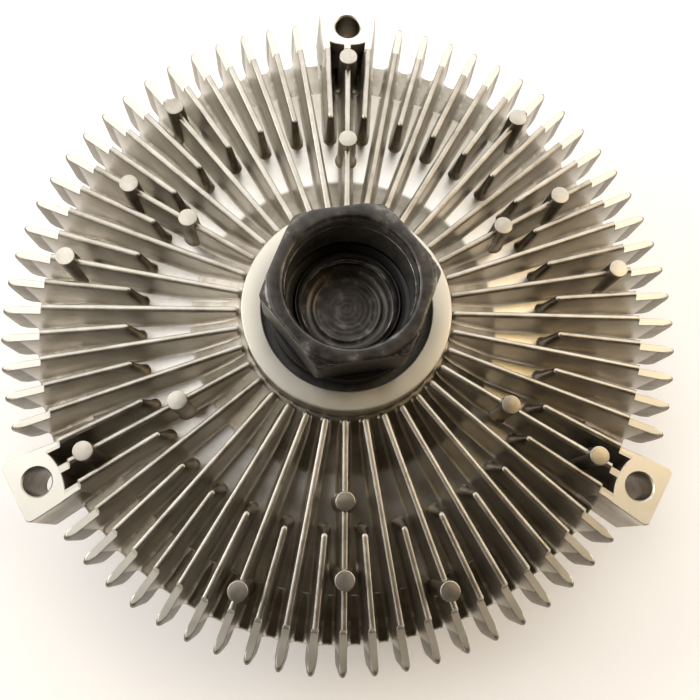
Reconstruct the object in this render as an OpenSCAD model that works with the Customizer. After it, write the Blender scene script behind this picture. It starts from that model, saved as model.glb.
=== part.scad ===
// Viscous fan clutch, lying on its front cover with the drive hub up.
// Millimetres. Z is the spin axis and points to the engine side.
// Z = 0 is the machined plane of the three fan lugs.

/* [Drive hub] */
// Spanner size over the flats of the hub
hex_af = 32; // [31:0.1:33]
// Diameter the corners of the hexagon are turned to
hex_corner_d = 36.5; // [35.5:0.1:37]
// Metal between the bearing shoulder and the floor of the bore
hub_floor = 1.9; // [1.2:0.1:3]
// Height of the hexagon
hex_h = 13.5; // [12:0.1:14]
// Chamfer on the top corners of the hexagon
hex_chamfer = 1.6; // [0.4:0.1:2]
// Diameter of the round base under the hexagon
hub_base_d = 34.6; // [33:0.1:36.4]
// Turn of the hexagon from the X axis
hub_turn = 9.3; // [0:0.05:60]
// Nominal diameter of the hub thread
thread_d = 22; // [20:0.5:23]
// Pitch of the hub thread
thread_pitch = 1.5; // [1:0.25:2]
// Diameter of the plain counterbore above the thread
cbore_d = 26.7; // [25:0.1:28]
// Depth of the plain counterbore
cbore_h = 14.4; // [12:0.1:16]
// Length of the thread under the counterbore
thread_len = 4.6; // [3.6:0.1:6]
// Diameter of the relief turned in the floor of the bore
relief_d = 15.8; // [10:0.1:17]

/* [Bearing] */
// Bore of the ball bearing
bearing_bore = 17; // [15:0.5:18]
// Outside diameter of the ball bearing
bearing_od = 40; // [39.6:0.1:40.2]
// Width of the ball bearing
bearing_w = 12; // [11:0.5:12.5]
// Number of balls
ball_count = 8; // [6:1:8]
// Diameter of a ball
ball_d = 6.74; // [6:0.02:6.9]
// Play between a ball and its tracks
ball_play = 0.05; // [0.02:0.01:0.08]
// Thickness of a bearing seal
seal_t = 0.9; // [0.6:0.1:1.2]
// Thickness of the ring that holds the bearing
circlip_t = 1.7; // [1.2:0.1:1.8]

/* [Rear fins] */
// Number of rear fins, long and short together
fin_count = 72; // [48, 60, 72]
// Reach of the fin tips past the rim
finger_reach = 4.7; // [4:0.1:6]
// Height of the fins at their inner ends, above the lug plane
fin_top_z = 4.1; // [3.2:0.1:5]
// Fall of the fin tops towards the outside, degrees
fin_fall = 1; // [0.4:0.1:1.4]
// Thickness of a fin along its top
fin_top_t = 1.35; // [1.1:0.05:1.5]
// Draft of each side of a fin, degrees
fin_draft = 2.8; // [1:0.1:3]
// Bevel on the top edges of a fin
fin_bevel = 0.3; // [0.1:0.05:0.4]
// Radius at the foot of the short fins
short_fin_r = 47; // [44:0.5:52]
// Lean of the inner end of a short fin, degrees
short_fin_lean = 9.5; // [4:0.5:14]
// Distance of the register turned on the fins inside the rim
register_in = 5.8; // [5:0.1:7]
// Radial width of the sloping wall of the register
register_w = 1.3; // [0.4:0.1:2]
// Depth of the fin tips below the lug plane
finger_h = 11.5; // [9:0.1:11.8]
// Rounding of the outer top corner of a fin tip
finger_round = 1.6; // [1:0.1:3]
// Diameter of the round ejector bosses
boss_d = 4.3; // [3.8:0.1:5]
// Height of the boss tops above the lug plane
boss_top_z = 5.8; // [5.2:0.1:7]

/* [Fan lugs] */
// Distance of the fan bolt circle outside the rim
lug_stand = 2.8; // [2.5:0.1:3.4]
// Bolt hole in each lug
fan_hole_d = 6.2; // [5.2:0.1:6.6]
// Metal outside the centre of the bolt hole
lug_reach = 5.4; // [4.8:0.1:7]
// Metal inside the centre of the bolt hole
lug_web = 5.3; // [4.8:0.1:5.6]
// Radius of the inward bulge of a lug
lug_round_r = 12; // [11:0.5:14]
// Half the angle a lug spans, seen from the axis
lug_half = 5.07; // [4.8:0.01:5.4]
// Draft of the sides of a lug, degrees
lug_draft = 3.5; // [1:0.5:5]
// Depth of a lug below its machined face
lug_h = 15; // [13.5:0.1:16.5]
// Radius cut clear for the nut under a lug
nut_clear_r = 6.2; // [5.9:0.1:6.6]

/* [Rear housing] */
// Outside diameter of the machined collar
collar_d = 46.7; // [46.4:0.1:47]
// Height of the collar face above the lug plane
collar_top_z = 8; // [7.6:0.1:8.1]
// Thickness of the lip over the bearing
lip_h = 3; // [2.4:0.1:3.4]
// Gap between the collar and the fins
collar_gap = 1.05; // [0.8:0.05:1.6]
// Height of the floor at the foot of the collar
floor_in_z = 0.9; // [0:0.1:2]
// Radius where the inner cone of the floor ends
cone_r = 36; // [33:0.5:39]
// Depth of the floor where the cone ends
cone_depth = 5.2; // [4.6:0.1:5.8]
// Distance of the sloping rim band outside the chamber
band_out = 1.8; // [1.2:0.1:2.6]
// Depth of the floor where the rim band begins
band_depth = 7.4; // [6.8:0.1:7.8]
// Small step down onto the rim band
band_step = 0.5; // [0.2:0.1:0.8]
// Metal between the chamber and the outside of the rim
rim_wall = 13.2; // [13:0.1:14.4]
// Depth of the upper edge of the rim
rim_depth = 11.9; // [11.9:0.1:12.4]
// Depth of the plane between housing and cover
split_depth = 18; // [17.8:0.1:18.2]

/* [Working chamber] */
// Radius of the working chamber
chamber_r = 60.5; // [58:0.1:66]
// Depth of the chamber roof below the lug plane
roof_depth = 11.4; // [11:0.1:11.6]
// Number of annular lands on the rotor
land_count = 4; // [2:1:4]
// Distance of the outermost land from the edge of the rotor
land_in = 3.5; // [3:0.1:4]
// Radial pitch of the lands
land_pitch = 4; // [3.8:0.1:4]
// Thickness of a land
land_t = 1.6; // [1.2:0.1:1.8]
// Height of the housing lands
land_h = 3.2; // [2.4:0.1:3.4]
// Gap between the rotor and the wall of the chamber
rotor_edge_gap = 3; // [2.8:0.1:4]
// Thickness of the rotor plate
rotor_t = 3; // [2.4:0.1:3.2]
// Radius of the rotor hub
rotor_hub_r = 13; // [12:0.1:14]
// Diameter of the shaft the rotor is pressed on
rotor_seat_d = 16; // [15:0.1:16.4]

/* [Separator and valve] */
// Thickness of the separator plate
plate_t = 1.2; // [0.8:0.1:1.4]
// Diameter of the supply hole in the separator plate
supply_d = 5; // [4:0.1:6]
// Distance of the supply hole from the axis
supply_x = 28; // [26:0.5:30]
// Distance of the lever rivet from the axis
rivet_x = 16; // [14:0.5:18]
// Width of the valve lever
lever_w = 8; // [7:0.2:9]
// Thickness of the valve lever
lever_t = 0.5; // [0.4:0.05:0.6]
// Diameter of the switching pin
pin_d = 4; // [3.4:0.1:4.6]
// Travel of the switching pin
pin_travel = 1.2; // [0.8:0.1:1.3]

/* [Front cover] */
// Number of front fins
front_fin_count = 36; // [24, 30, 36]
// Depth of the front fin edges below the lug plane
front_depth = 38; // [37.5:0.1:40]
// Depth of the cover face below the lug plane
face_depth = 30.5; // [30:0.1:31]
// Thickness of the cover wall
cover_t = 3.5; // [3:0.1:3.8]
// Step of the cover flange inside the rim
flange_in = 0.4; // [0.2:0.1:0.8]
// Thickness of the cover flange
flange_t = 4; // [3.4:0.1:4.4]
// Number of cover screws
screw_count = 6; // [3, 6]
// Diameter of the cover screws
screw_d = 5; // [4:0.1:5.2]
// Distance of the cover screws outside the chamber
screw_out = 7.8; // [7.6:0.1:8.2]
// Length of the bimetal strip
strip_l = 48; // [46:0.5:50]
// Width of the bimetal strip
strip_w = 15; // [12:0.5:17]
// Thickness of the bimetal strip
strip_t = 1; // [0.8:0.05:1.2]

/* [Hidden] */

// Facets asked of a round face; true curves stay round
round_fn = 96;
small_fn = 32;
hex_sides = 6;
// Overlap used so that joined shapes share volume
bite = 1;
// Reach of a cutting shape past what it cuts
over = 2;

lug_count = 3;
first_lug = 90;
lug_step = 360 / lug_count;
fin_pitch = 360 / fin_count;
rim_r = chamber_r + rim_wall;
fan_r = rim_r + lug_stand;
tip_r = rim_r + finger_reach;
register_r = rim_r - register_in;
band_r = chamber_r + band_out;
collar_r = collar_d / 2;
fin_in_r = collar_r + collar_gap;
flange_r = rim_r - flange_in;
screw_circle_r = chamber_r + screw_out;
rotor_r = chamber_r - rotor_edge_gap;
land_r = rotor_r - land_in;

// Bearing places
bearing_top_z = collar_top_z - lip_h;
bearing_bottom_z = bearing_top_z - bearing_w;
bearing_mid_z = bearing_top_z - bearing_w / 2;
bearing_r = bearing_od / 2;
bearing_bore_r = bearing_bore / 2;
ball_r = ball_d / 2;
ball_circle_r = (bearing_r + bearing_bore_r) / 2;
track_r = ball_r + ball_play;
track_bite = 1.25;
inner_ring_r = ball_circle_r - track_r + track_bite;
outer_ring_r = ball_circle_r + track_r - track_bite;
seal_seat = 0.65;
seal_inset = 0.1;
seal_gap = 0.3;
cage_edge = 0.75;
cage_half_h = ball_r + cage_edge;
cage_half_t = 0.9;
cage_play = 0.15;
lip_bite = 1.1;
lip_r = bearing_r - lip_bite;
tube_wall = 4.5;
tube_r = bearing_r + tube_wall;
circlip_groove = 1.25;
circlip_bite = 2.6;
circlip_play = 0.1;
circlip_gap_angle = 36;
circlip_ear_r = 1.9;
circlip_ear_in = 0.63;
circlip_hole_r = 0.9;
tube_edge = 1.5;
tube_bottom_z = bearing_bottom_z - circlip_t - circlip_play - tube_edge;

// Hub places
hub_gap = 0.4;
hub_base_z = collar_top_z + hub_gap;
bore_floor_z = bearing_top_z + hub_floor;
cbore_z = bore_floor_z + thread_len;
hub_top_z = cbore_z + cbore_h;
hex_z = hub_top_z - hex_h;
neck_step = 0.1;
neck_r = inner_ring_r - neck_step;
// Depth of an internal thread on both sides, as a share of its pitch
thread_depth = 1.0825;
thread_r = (thread_d - thread_depth * thread_pitch) / 2;
cbore_r = cbore_d / 2;
relief_h = 0.8;
shaft_bevel = 0.4;
cbore_chamfer = 0.5;
hex_chamfer_angle = 45;
// Groove turned at the foot of the counterbore
undercut_w = 0.5;
undercut_h = 1.3;
rotor_seat_r = rotor_seat_d / 2;

// Working chamber places
rotor_gap = 0.8;
land_gap = 0.6;
rotor_top_z = -roof_depth - land_h - rotor_gap;
rotor_bottom_z = rotor_top_z - rotor_t;
rotor_land_h = land_h + rotor_gap - land_gap;
rotor_dish_h = 2.4;
rotor_dish_w = 5;
rotor_dish_slope = 2;
rotor_hub_bottom_z = rotor_bottom_z + rotor_dish_h;
rotor_dish_r = rotor_hub_r + rotor_dish_w;
rotor_bevel = 1;
rotor_foot_h = 2;
rotor_foot_w = 3;
roof_foot_h = 4;
shaft_clip_t = 1.2;
shaft_clip_groove = 0.7;
shaft_clip_w = 2.4;
shaft_tip = 1;
shaft_end_z = rotor_hub_bottom_z - shaft_clip_t - shaft_tip;
plate_gap = 1;
plate_top_z = rotor_bottom_z - plate_gap;
plate_bottom_z = plate_top_z - plate_t;
plate_edge_gap = 0.5;
plate_r = chamber_r - plate_edge_gap;
plate_seat_gap = 0.2;
plate_seat_r = plate_r + plate_seat_gap;
ledge_w = 6.2;
ledge_r = plate_seat_r - ledge_w;
plate_screw_in = 3;
plate_screw_r = plate_r - plate_screw_in;
plate_screw_d = 3;
plate_screw_head_r = 2.5;
plate_screw_head_gap = 0.4;
plate_screw_head_h = plate_gap - plate_screw_head_gap;
plate_screw_len = 5;
plate_screw_count = 4;
return_d = 3;
return_in = 3;

// Front cover places
face_z = -face_depth;
inner_face_z = face_z + cover_t;
split_z = -split_depth;
flange_z = split_z - flange_t;
front_z = -front_depth;
dome_in = 8.5;
dome_r = chamber_r - dome_in;
skirt_out = 3;
skirt_r = chamber_r + skirt_out;
skirt_slope_w = 2;
skirt_slope_h = 4;
ledge_slope_w = 4;
ledge_slope_h = 2.6;
front_fin_in_r = 31;
front_fin_t = 1.5;
front_fin_draft = 2.4;
front_fin_step = 0.5;
front_fin_out_r = skirt_r - front_fin_step;
front_round_w = 6;
front_round_h = 5;
pad_r = 8;
pad_gap = 0.9;
pin_boss_r = 6;

// Lever and pin places
lever_lift = 0.4;
lever_gap = 0.1;
lever_top_z = plate_bottom_z - lever_lift;
lever_bottom_z = lever_top_z - lever_t;
// The lever rocks on a round bead under the separator plate
bead_gap = 0.03;
bead_r = lever_lift + lever_t / 2 - bead_gap;
lever_end = 5;
lever_eye = 1;
lever_pad_lap = 1;
lever_pad_r = supply_d / 2 + lever_pad_lap;
rivet_r = 1.4;
rivet_hole_r = 1.9;
rivet_head_r = 2.8;
rivet_head_h = 0.8;
rivet_gap = 0.5;
pin_r = pin_d / 2;
pin_play = 0.05;
pin_top_z = lever_bottom_z - lever_gap;
strip_stand = 3.2;
strip_z = face_z - strip_stand;
pin_nose = 0.8;
pin_seal_r = 0.8;
pin_seal_z = (inner_face_z + face_z) / 2;
pin_boss_in_h = 2;
strip_gap = 0.05;
post_w = 4;
post_l = 5;
post_in = 3;
post_x = strip_l / 2 - post_in;
rest_step = 1;
rest_w = strip_w - 2 * rest_step;
hook_h = 1.2;
hook_reach = 1.6;
strip_notch = 0.15;

// Cover screw places
screw_r = screw_d / 2;
screw_play = 0.25;
screw_in = 5.4;
screw_tip_gap = 0.6;
// Head and socket of a cap screw, as shares of its diameter
head_share = 0.85;
head_h_share = 0.7;
socket_share = 0.46;
socket_h_share = 0.38;
screw_head_r = screw_d * head_share;
screw_head_h = screw_d * head_h_share;
socket_r = screw_d * socket_share;
socket_h = screw_d * socket_h_share;
first_screw = 0;
screw_step = 360 / screw_count;
plate_screw_step = 360 / plate_screw_count;
front_fin_pitch = 360 / front_fin_count;

// Cover seal places
groove_w = 2.4;
groove_h = 1.7;
groove_mid_r = (plate_seat_r + screw_circle_r - screw_r) / 2;
seal_ring_w = 2.1;

// A ring-shaped solid turned from an r-z outline
module turned(outline) {
  rotate_extrude($fn = round_fn) polygon(outline);
}

// A plain round bar from one height to another
module bar(r, z0, z1, fn) {
  translate([0, 0, z0]) cylinder(r = r, h = z1 - z0, $fn = fn);
}

// A drafted fin laid along X; its top line starts at the given place
module fin(start_r, length, top_z, fall, top_t, draft, depth, bevel) {
  half = top_t / 2;
  spread = depth * tan(draft);
  side = bevel * tan(draft);
  section = [
    [-half - spread, -depth], [half + spread, -depth], [half + side, -bevel],
    [half - bevel, 0], [bevel - half, 0], [-half - side, -bevel]
  ];
  translate([start_r, 0, top_z])
    rotate([0, fall, 0])
      rotate([90, 0, 90])
        linear_extrude(height = length) polygon(section);
}

fin_depth = fin_top_z + rim_depth + bite;
fin_len = tip_r - fin_in_r + over;
fins_a_lug = fin_count / lug_count;

module rear_fin(start_r, top_z) {
  fin(start_r, fin_len, top_z, fin_fall, fin_top_t, fin_draft, fin_depth, fin_bevel);
}

// Depth over which the top corner of a fin tip is rounded, and the angle of one facet of it
finger_round_h = 3.2;
finger_under = 1.2;
facet_step = 22.5;

// Points of a quarter ellipse, from its side up to its top
function quarter(r, z, w, h) = [
  for (a = [0 : facet_step : 90]) [r - w * (1 - cos(a)), z - h * (1 - sin(a))]
];

// The outer part of the outline every rear fin is trimmed to
function fin_tip() = concat(
  [
    [band_r, -band_depth - band_step - bite],
    [rim_r - bite, -rim_depth - bite / 2],
    [rim_r, -finger_h - bite / 4],
    [tip_r - finger_under, -finger_h],
    [tip_r, -finger_h + finger_under]
  ],
  quarter(tip_r, 0, finger_round, finger_round_h),
  [
    [register_r + register_w, 0],
    [register_r - register_w / 2, fin_top_z + bite]
  ]
);

function long_outline() = concat(
  [[fin_in_r, floor_in_z - bite], [cone_r, -cone_depth - bite]],
  fin_tip(),
  [[fin_in_r, fin_top_z + bite]]
);

short_lean_w = (fin_top_z + bite + band_depth) * tan(short_fin_lean);
short_foot_z = -cone_depth - bite;
// Place and turn of the two short fins beside each lug, from its centre line
beside_off = 1.56;
beside_turn = 2.94;

function short_outline() = concat(
  [[short_fin_r - bite * tan(short_fin_lean), short_foot_z - bite / 2]],
  fin_tip(),
  [[short_fin_r + short_lean_w, fin_top_z + bite]]
);

module long_fins() {
  intersection() {
    for (k = [0 : 2 : fin_count - 1])
      rotate([0, 0, first_lug + k * fin_pitch])
        rear_fin(fin_in_r - bite / 2, fin_top_z);
    turned(long_outline());
  }
}

// The short fins beside a lug stand closer to its centre line, so they run into its sides
module short_fins() {
  first_top_z = fin_top_z - (short_fin_r - fin_in_r) * tan(fin_fall);
  lug_cut_w = 2 * tip_r * sin(fin_pitch * 1.5);
  difference() {
    intersection() {
      union() {
        for (n = [0 : lug_count - 1])
          rotate([0, 0, first_lug + n * lug_step]) {
            for (k = [3 : 2 : fins_a_lug - 3])
              rotate([0, 0, k * fin_pitch]) rear_fin(short_fin_r - over, first_top_z);
            for (s = [-1, 1])
              translate([0, s * beside_off, 0])
                rotate([0, 0, s * beside_turn]) rear_fin(short_fin_r - over, first_top_z);
          }
      }
      turned(short_outline());
    }
    for (n = [0 : lug_count - 1])
      rotate([0, 0, first_lug + n * lug_step])
        translate([fan_r - lug_web + over, -lug_cut_w / 2, -rim_depth - over])
          cube([tip_r, lug_cut_w, rim_depth + fin_top_z + 2 * over]);
  }
}

// Round bosses the casting is pushed out of its die with
module boss(r, angle) {
  rotate([0, 0, angle]) translate([r, 0, 0]) bar(boss_d / 2, -band_depth, boss_top_z, small_fn);
}

boss_far_in = 9.8;
boss_mid_in = 15.7;
boss_far_r = rim_r - boss_far_in;
boss_mid_r = rim_r - boss_mid_in;
boss_near_r = 42;
boss_side = 4 * fin_pitch;

module bosses() {
  for (n = [0 : lug_count - 1]) {
    at = first_lug + n * lug_step;
    between = at + lug_step / 2;
    boss(boss_far_r, at);
    boss(boss_near_r, at);
    boss(boss_mid_r, between);
    boss(boss_near_r, between);
    boss(boss_far_r, between - boss_side);
    boss(boss_far_r, between + boss_side);
  }
}

// One fan lug, along X, with drafted sides and a bulging inner wall
module lug() {
  outer = fan_r + lug_reach;
  wide = 2 * outer;
  intersection() {
    translate([0, 0, -lug_h])
      linear_extrude(height = lug_h)
        intersection() {
          translate([fan_r - lug_web + lug_round_r, 0]) circle(r = lug_round_r, $fn = round_fn);
          translate([0, -outer]) square([outer, wide]);
        }
    rotate([0, 0, lug_half]) rotate([-lug_draft, 0, 0])
      translate([0, -wide, -wide]) cube([wide, wide, 2 * wide]);
    rotate([0, 0, -lug_half]) rotate([lug_draft, 0, 0])
      translate([0, 0, -wide]) cube([wide, wide, 2 * wide]);
  }
}

// The turned shell of the rear housing: collar, floor, rim and roof of the chamber
module housing_shell() {
  collar_bevel = 0.4;
  turned([
    [lip_r, bearing_top_z],
    [lip_r, collar_top_z],
    [collar_r - collar_bevel, collar_top_z],
    [collar_r, collar_top_z - collar_bevel],
    [collar_r, floor_in_z],
    [fin_in_r, floor_in_z],
    [cone_r, -cone_depth],
    [band_r, -band_depth],
    [band_r, -band_depth - band_step],
    [rim_r, -rim_depth],
    [rim_r, split_z],
    [chamber_r, split_z],
    [chamber_r, -roof_depth],
    [cone_r, -roof_depth],
    [tube_r, -roof_depth + roof_foot_h],
    [tube_r, tube_bottom_z],
    [bearing_r, tube_bottom_z],
    [bearing_r, bearing_bottom_z - circlip_t - circlip_play],
    [bearing_r + circlip_groove, bearing_bottom_z - circlip_t - circlip_play],
    [bearing_r + circlip_groove, bearing_bottom_z],
    [bearing_r, bearing_bottom_z],
    [bearing_r, bearing_top_z]
  ]);
  for (n = [0 : land_count])
    turned([
      [land_r - (n - 0.5) * land_pitch - land_t / 2, -roof_depth + bite],
      [land_r - (n - 0.5) * land_pitch + land_t / 2, -roof_depth + bite],
      [land_r - (n - 0.5) * land_pitch + land_t / 2, -roof_depth - land_h],
      [land_r - (n - 0.5) * land_pitch - land_t / 2, -roof_depth - land_h]
    ]);
}

module rear_housing() {
  color("Silver")
    difference() {
      union() {
        housing_shell();
        long_fins();
        short_fins();
        bosses();
        for (n = [0 : lug_count - 1])
          rotate([0, 0, first_lug + n * lug_step]) lug();
      }
      for (n = [0 : lug_count - 1])
        rotate([0, 0, first_lug + n * lug_step]) translate([fan_r, 0, 0]) {
          bar(fan_hole_d / 2, -lug_h - over, over, small_fn);
          bar(nut_clear_r, split_z - over, -lug_h, small_fn);
        }
      for (n = [0 : screw_count - 1])
        rotate([0, 0, first_screw + n * screw_step]) translate([screw_circle_r, 0, 0])
          bar(screw_r, split_z - over, split_z + screw_in + screw_tip_gap, small_fn);
    }
}

// A front fin hangs below the cover face
module front_fins() {
  tall = front_depth + flange_z + bite;
  intersection() {
    for (k = [0 : front_fin_count - 1])
      rotate([0, 0, (k + 0.5) * front_fin_pitch])
        mirror([0, 0, 1])
          fin(front_fin_in_r - bite, front_fin_out_r, front_depth, 0, front_fin_t, front_fin_draft, tall,
              fin_bevel);
    mirror([0, 0, 1])
      turned(concat(
        [[front_fin_in_r, face_depth - bite], [dome_r, face_depth - 3 * bite]],
        [[front_fin_out_r, -flange_z - bite]],
        quarter(front_fin_out_r, front_depth, front_round_w, front_round_h),
        [[front_fin_in_r + bite, front_depth]]
      ));
  }
}

// Cast posts that hold one end of the bimetal strip
module strip_posts() {
  root_z = face_z + bite;
  hook_z = strip_z - strip_t - strip_gap;
  for (s = [-1, 1])
    translate([0, s * (strip_w / 2 + post_w / 2 + strip_notch), 0]) {
      translate([post_x, 0, (root_z + hook_z - hook_h) / 2])
        cube([post_l, post_w, root_z - hook_z + hook_h], center = true);
      translate([post_x, -s * (post_w / 2 + hook_reach / 2 - bite / 2), hook_z - hook_h / 2])
        cube([post_l, hook_reach + bite, hook_h], center = true);
    }
  translate([post_x, 0, (root_z + strip_z) / 2])
    cube([post_l, rest_w, root_z - strip_z], center = true);
  translate([strip_l / 2 + strip_notch + bite, 0, (root_z + strip_z - strip_t) / 2])
    cube([2 * bite, rest_w, root_z - strip_z + strip_t], center = true);
}

module front_cover() {
  color("Silver")
    difference() {
      union() {
        turned([
          [0, inner_face_z],
          [ledge_r - ledge_slope_w, inner_face_z],
          [ledge_r, inner_face_z + ledge_slope_h],
          [ledge_r, plate_bottom_z],
          [plate_seat_r, plate_bottom_z],
          [plate_seat_r, split_z],
          [flange_r, split_z],
          [flange_r, flange_z],
          [skirt_r, flange_z],
          [skirt_r - skirt_slope_w, flange_z - skirt_slope_h],
          [dome_r, face_z],
          [0, face_z]
        ]);
        front_fins();
        bar(pad_r, strip_z + pad_gap, face_z + bite, small_fn);
        bar(pin_boss_r, inner_face_z - bite, inner_face_z + pin_boss_in_h, small_fn);
        for (a = [0, 180])
          rotate([0, 0, a]) strip_posts();
      }
      bar(pin_r + pin_play, front_z - over, inner_face_z + pin_boss_in_h + over, small_fn);
      bar(pin_r + 2 * pin_seal_r, pin_seal_z - pin_seal_r, pin_seal_z + pin_seal_r, small_fn);
      turned([
        [groove_mid_r - groove_w / 2, split_z - groove_h],
        [groove_mid_r + groove_w / 2, split_z - groove_h],
        [groove_mid_r + groove_w / 2, split_z + bite],
        [groove_mid_r - groove_w / 2, split_z + bite]
      ]);
      for (n = [0 : screw_count - 1])
        rotate([0, 0, first_screw + n * screw_step]) translate([screw_circle_r, 0, 0])
          bar(screw_r + screw_play, flange_z - over, split_z + over, small_fn);
      for (n = [0 : lug_count - 1])
        rotate([0, 0, first_lug + n * lug_step]) translate([fan_r, 0, 0])
          bar(nut_clear_r, flange_z - over, split_z + over, small_fn);
      for (n = [0 : plate_screw_count - 1])
        rotate([0, 0, (n + 0.5) * plate_screw_step]) translate([plate_screw_r, 0, 0])
          bar(plate_screw_d / 2, plate_top_z - plate_screw_len, plate_bottom_z + over, small_fn);
    }
}

module cover_seal() {
  color("Black")
    turned([
      [groove_mid_r - seal_ring_w / 2, split_z - groove_h],
      [groove_mid_r + seal_ring_w / 2, split_z - groove_h],
      [groove_mid_r + seal_ring_w / 2, split_z],
      [groove_mid_r - seal_ring_w / 2, split_z]
    ]);
}

module cover_screws() {
  color("SlateGray")
    for (n = [0 : screw_count - 1])
      rotate([0, 0, first_screw + n * screw_step]) translate([screw_circle_r, 0, 0])
        difference() {
          union() {
            bar(screw_r, flange_z - bite / 2, split_z + screw_in, small_fn);
            bar(screw_head_r, flange_z - screw_head_h, flange_z, small_fn);
          }
          translate([0, 0, flange_z - screw_head_h - bite])
            cylinder(r = socket_r, h = socket_h + bite, $fn = hex_sides);
        }
}

module drive_hub() {
  color("DimGray")
    rotate([0, 0, hub_turn])
      difference() {
        union() {
          intersection() {
            bar(hex_af / 2 / cos(180 / hex_sides), hex_z - bite, hub_top_z, hex_sides);
            turned([
              [0, hex_z - bite],
              [hex_corner_d / 2, hex_z - bite],
              [hex_corner_d / 2, hub_top_z - hex_chamfer * tan(hex_chamfer_angle)],
              [hex_corner_d / 2 - hex_chamfer, hub_top_z],
              [0, hub_top_z]
            ]);
          }
          turned([
            [0, hex_z],
            [hub_base_d / 2, hex_z],
            [hub_base_d / 2, hub_base_z],
            [neck_r, hub_base_z],
            [neck_r, bearing_top_z],
            [bearing_bore_r, bearing_top_z],
            [bearing_bore_r, bearing_bottom_z],
            [rotor_seat_r, bearing_bottom_z],
            [rotor_seat_r, rotor_hub_bottom_z],
            [rotor_seat_r - shaft_clip_groove, rotor_hub_bottom_z],
            [rotor_seat_r - shaft_clip_groove, rotor_hub_bottom_z - shaft_clip_t],
            [rotor_seat_r, rotor_hub_bottom_z - shaft_clip_t],
            [rotor_seat_r - shaft_bevel, shaft_end_z],
            [0, shaft_end_z]
          ]);
        }
        turned([
          [0, bore_floor_z - relief_h],
          [relief_d / 2, bore_floor_z - relief_h],
          [relief_d / 2, bore_floor_z],
          [thread_r, bore_floor_z],
          [thread_r, cbore_z - (thread_d / 2 - thread_r)],
          [thread_d / 2, cbore_z],
          [cbore_r + undercut_w, cbore_z],
          [cbore_r + undercut_w, cbore_z + undercut_h],
          [cbore_r, cbore_z + undercut_h + undercut_w],
          [cbore_r, hub_top_z - cbore_chamfer],
          [cbore_r + cbore_chamfer, hub_top_z],
          [cbore_r + cbore_chamfer, hub_top_z + over],
          [0, hub_top_z + over]
        ]);
      }
}

module bearing_outer_ring() {
  color("Gainsboro")
    rotate_extrude($fn = round_fn)
      difference() {
        translate([outer_ring_r, bearing_bottom_z]) square([bearing_r - outer_ring_r, bearing_w]);
        translate([ball_circle_r, bearing_mid_z]) circle(r = track_r, $fn = round_fn);
        translate([outer_ring_r - bite, bearing_top_z - seal_t - seal_inset])
          square([bite + seal_seat, seal_t + seal_inset + bite]);
        translate([outer_ring_r - bite, bearing_bottom_z - bite])
          square([bite + seal_seat, seal_t + seal_inset + bite]);
      }
}

module bearing_inner_ring() {
  color("Gainsboro")
    rotate_extrude($fn = round_fn)
      difference() {
        translate([bearing_bore_r, bearing_bottom_z]) square([inner_ring_r - bearing_bore_r, bearing_w]);
        translate([ball_circle_r, bearing_mid_z]) circle(r = track_r, $fn = round_fn);
      }
}

module ball_places() {
  for (n = [0 : ball_count - 1])
    rotate([0, 0, n * 360 / ball_count]) translate([ball_circle_r, 0, bearing_mid_z]) children();
}

module bearing_balls() {
  color("WhiteSmoke")
    ball_places() sphere(r = ball_r, $fn = small_fn);
}

module bearing_cage() {
  color("Peru")
    difference() {
      turned([
        [ball_circle_r - cage_half_t, bearing_mid_z - cage_half_h],
        [ball_circle_r + cage_half_t, bearing_mid_z - cage_half_h],
        [ball_circle_r + cage_half_t, bearing_mid_z + cage_half_h],
        [ball_circle_r - cage_half_t, bearing_mid_z + cage_half_h]
      ]);
      ball_places() sphere(r = ball_r + cage_play, $fn = small_fn);
    }
}

module seal_disc(z) {
  turned([
    [inner_ring_r + seal_gap, z],
    [outer_ring_r + seal_seat, z],
    [outer_ring_r + seal_seat, z + seal_t],
    [inner_ring_r + seal_gap, z + seal_t]
  ]);
}

module bearing_rear_seal() {
  color("Maroon")
    seal_disc(bearing_top_z - seal_inset - seal_t);
}

module bearing_front_seal() {
  color("Maroon")
    seal_disc(bearing_bottom_z + seal_inset);
}

// A spring ring, open at one side, with two plier eyes
module spring_ring(in_r, out_r, z, t, eye_r) {
  half_gap = circlip_gap_angle / 2;
  difference() {
    union() {
      rotate([0, 0, half_gap])
        rotate_extrude(angle = 360 - circlip_gap_angle, $fn = round_fn)
          translate([in_r, z]) square([out_r - in_r, t]);
      for (s = [-1, 1])
        rotate([0, 0, s * half_gap]) translate([eye_r, 0, 0]) bar(circlip_ear_r, z, z + t, small_fn);
    }
    for (s = [-1, 1])
      rotate([0, 0, s * half_gap]) translate([eye_r, 0, 0])
        bar(circlip_hole_r, z - bite, z + t + bite, small_fn);
  }
}

module bearing_circlip() {
  color("DarkSlateGray")
    spring_ring(bearing_r - circlip_bite, bearing_r + circlip_groove, bearing_bottom_z - circlip_t,
                circlip_t, bearing_r - circlip_bite + circlip_ear_in);
}

module rotor_circlip() {
  color("DarkSlateGray")
    spring_ring(rotor_seat_r - shaft_clip_groove, rotor_seat_r + shaft_clip_w,
                rotor_hub_bottom_z - shaft_clip_t, shaft_clip_t,
                rotor_seat_r + shaft_clip_w - circlip_ear_in);
}

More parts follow.
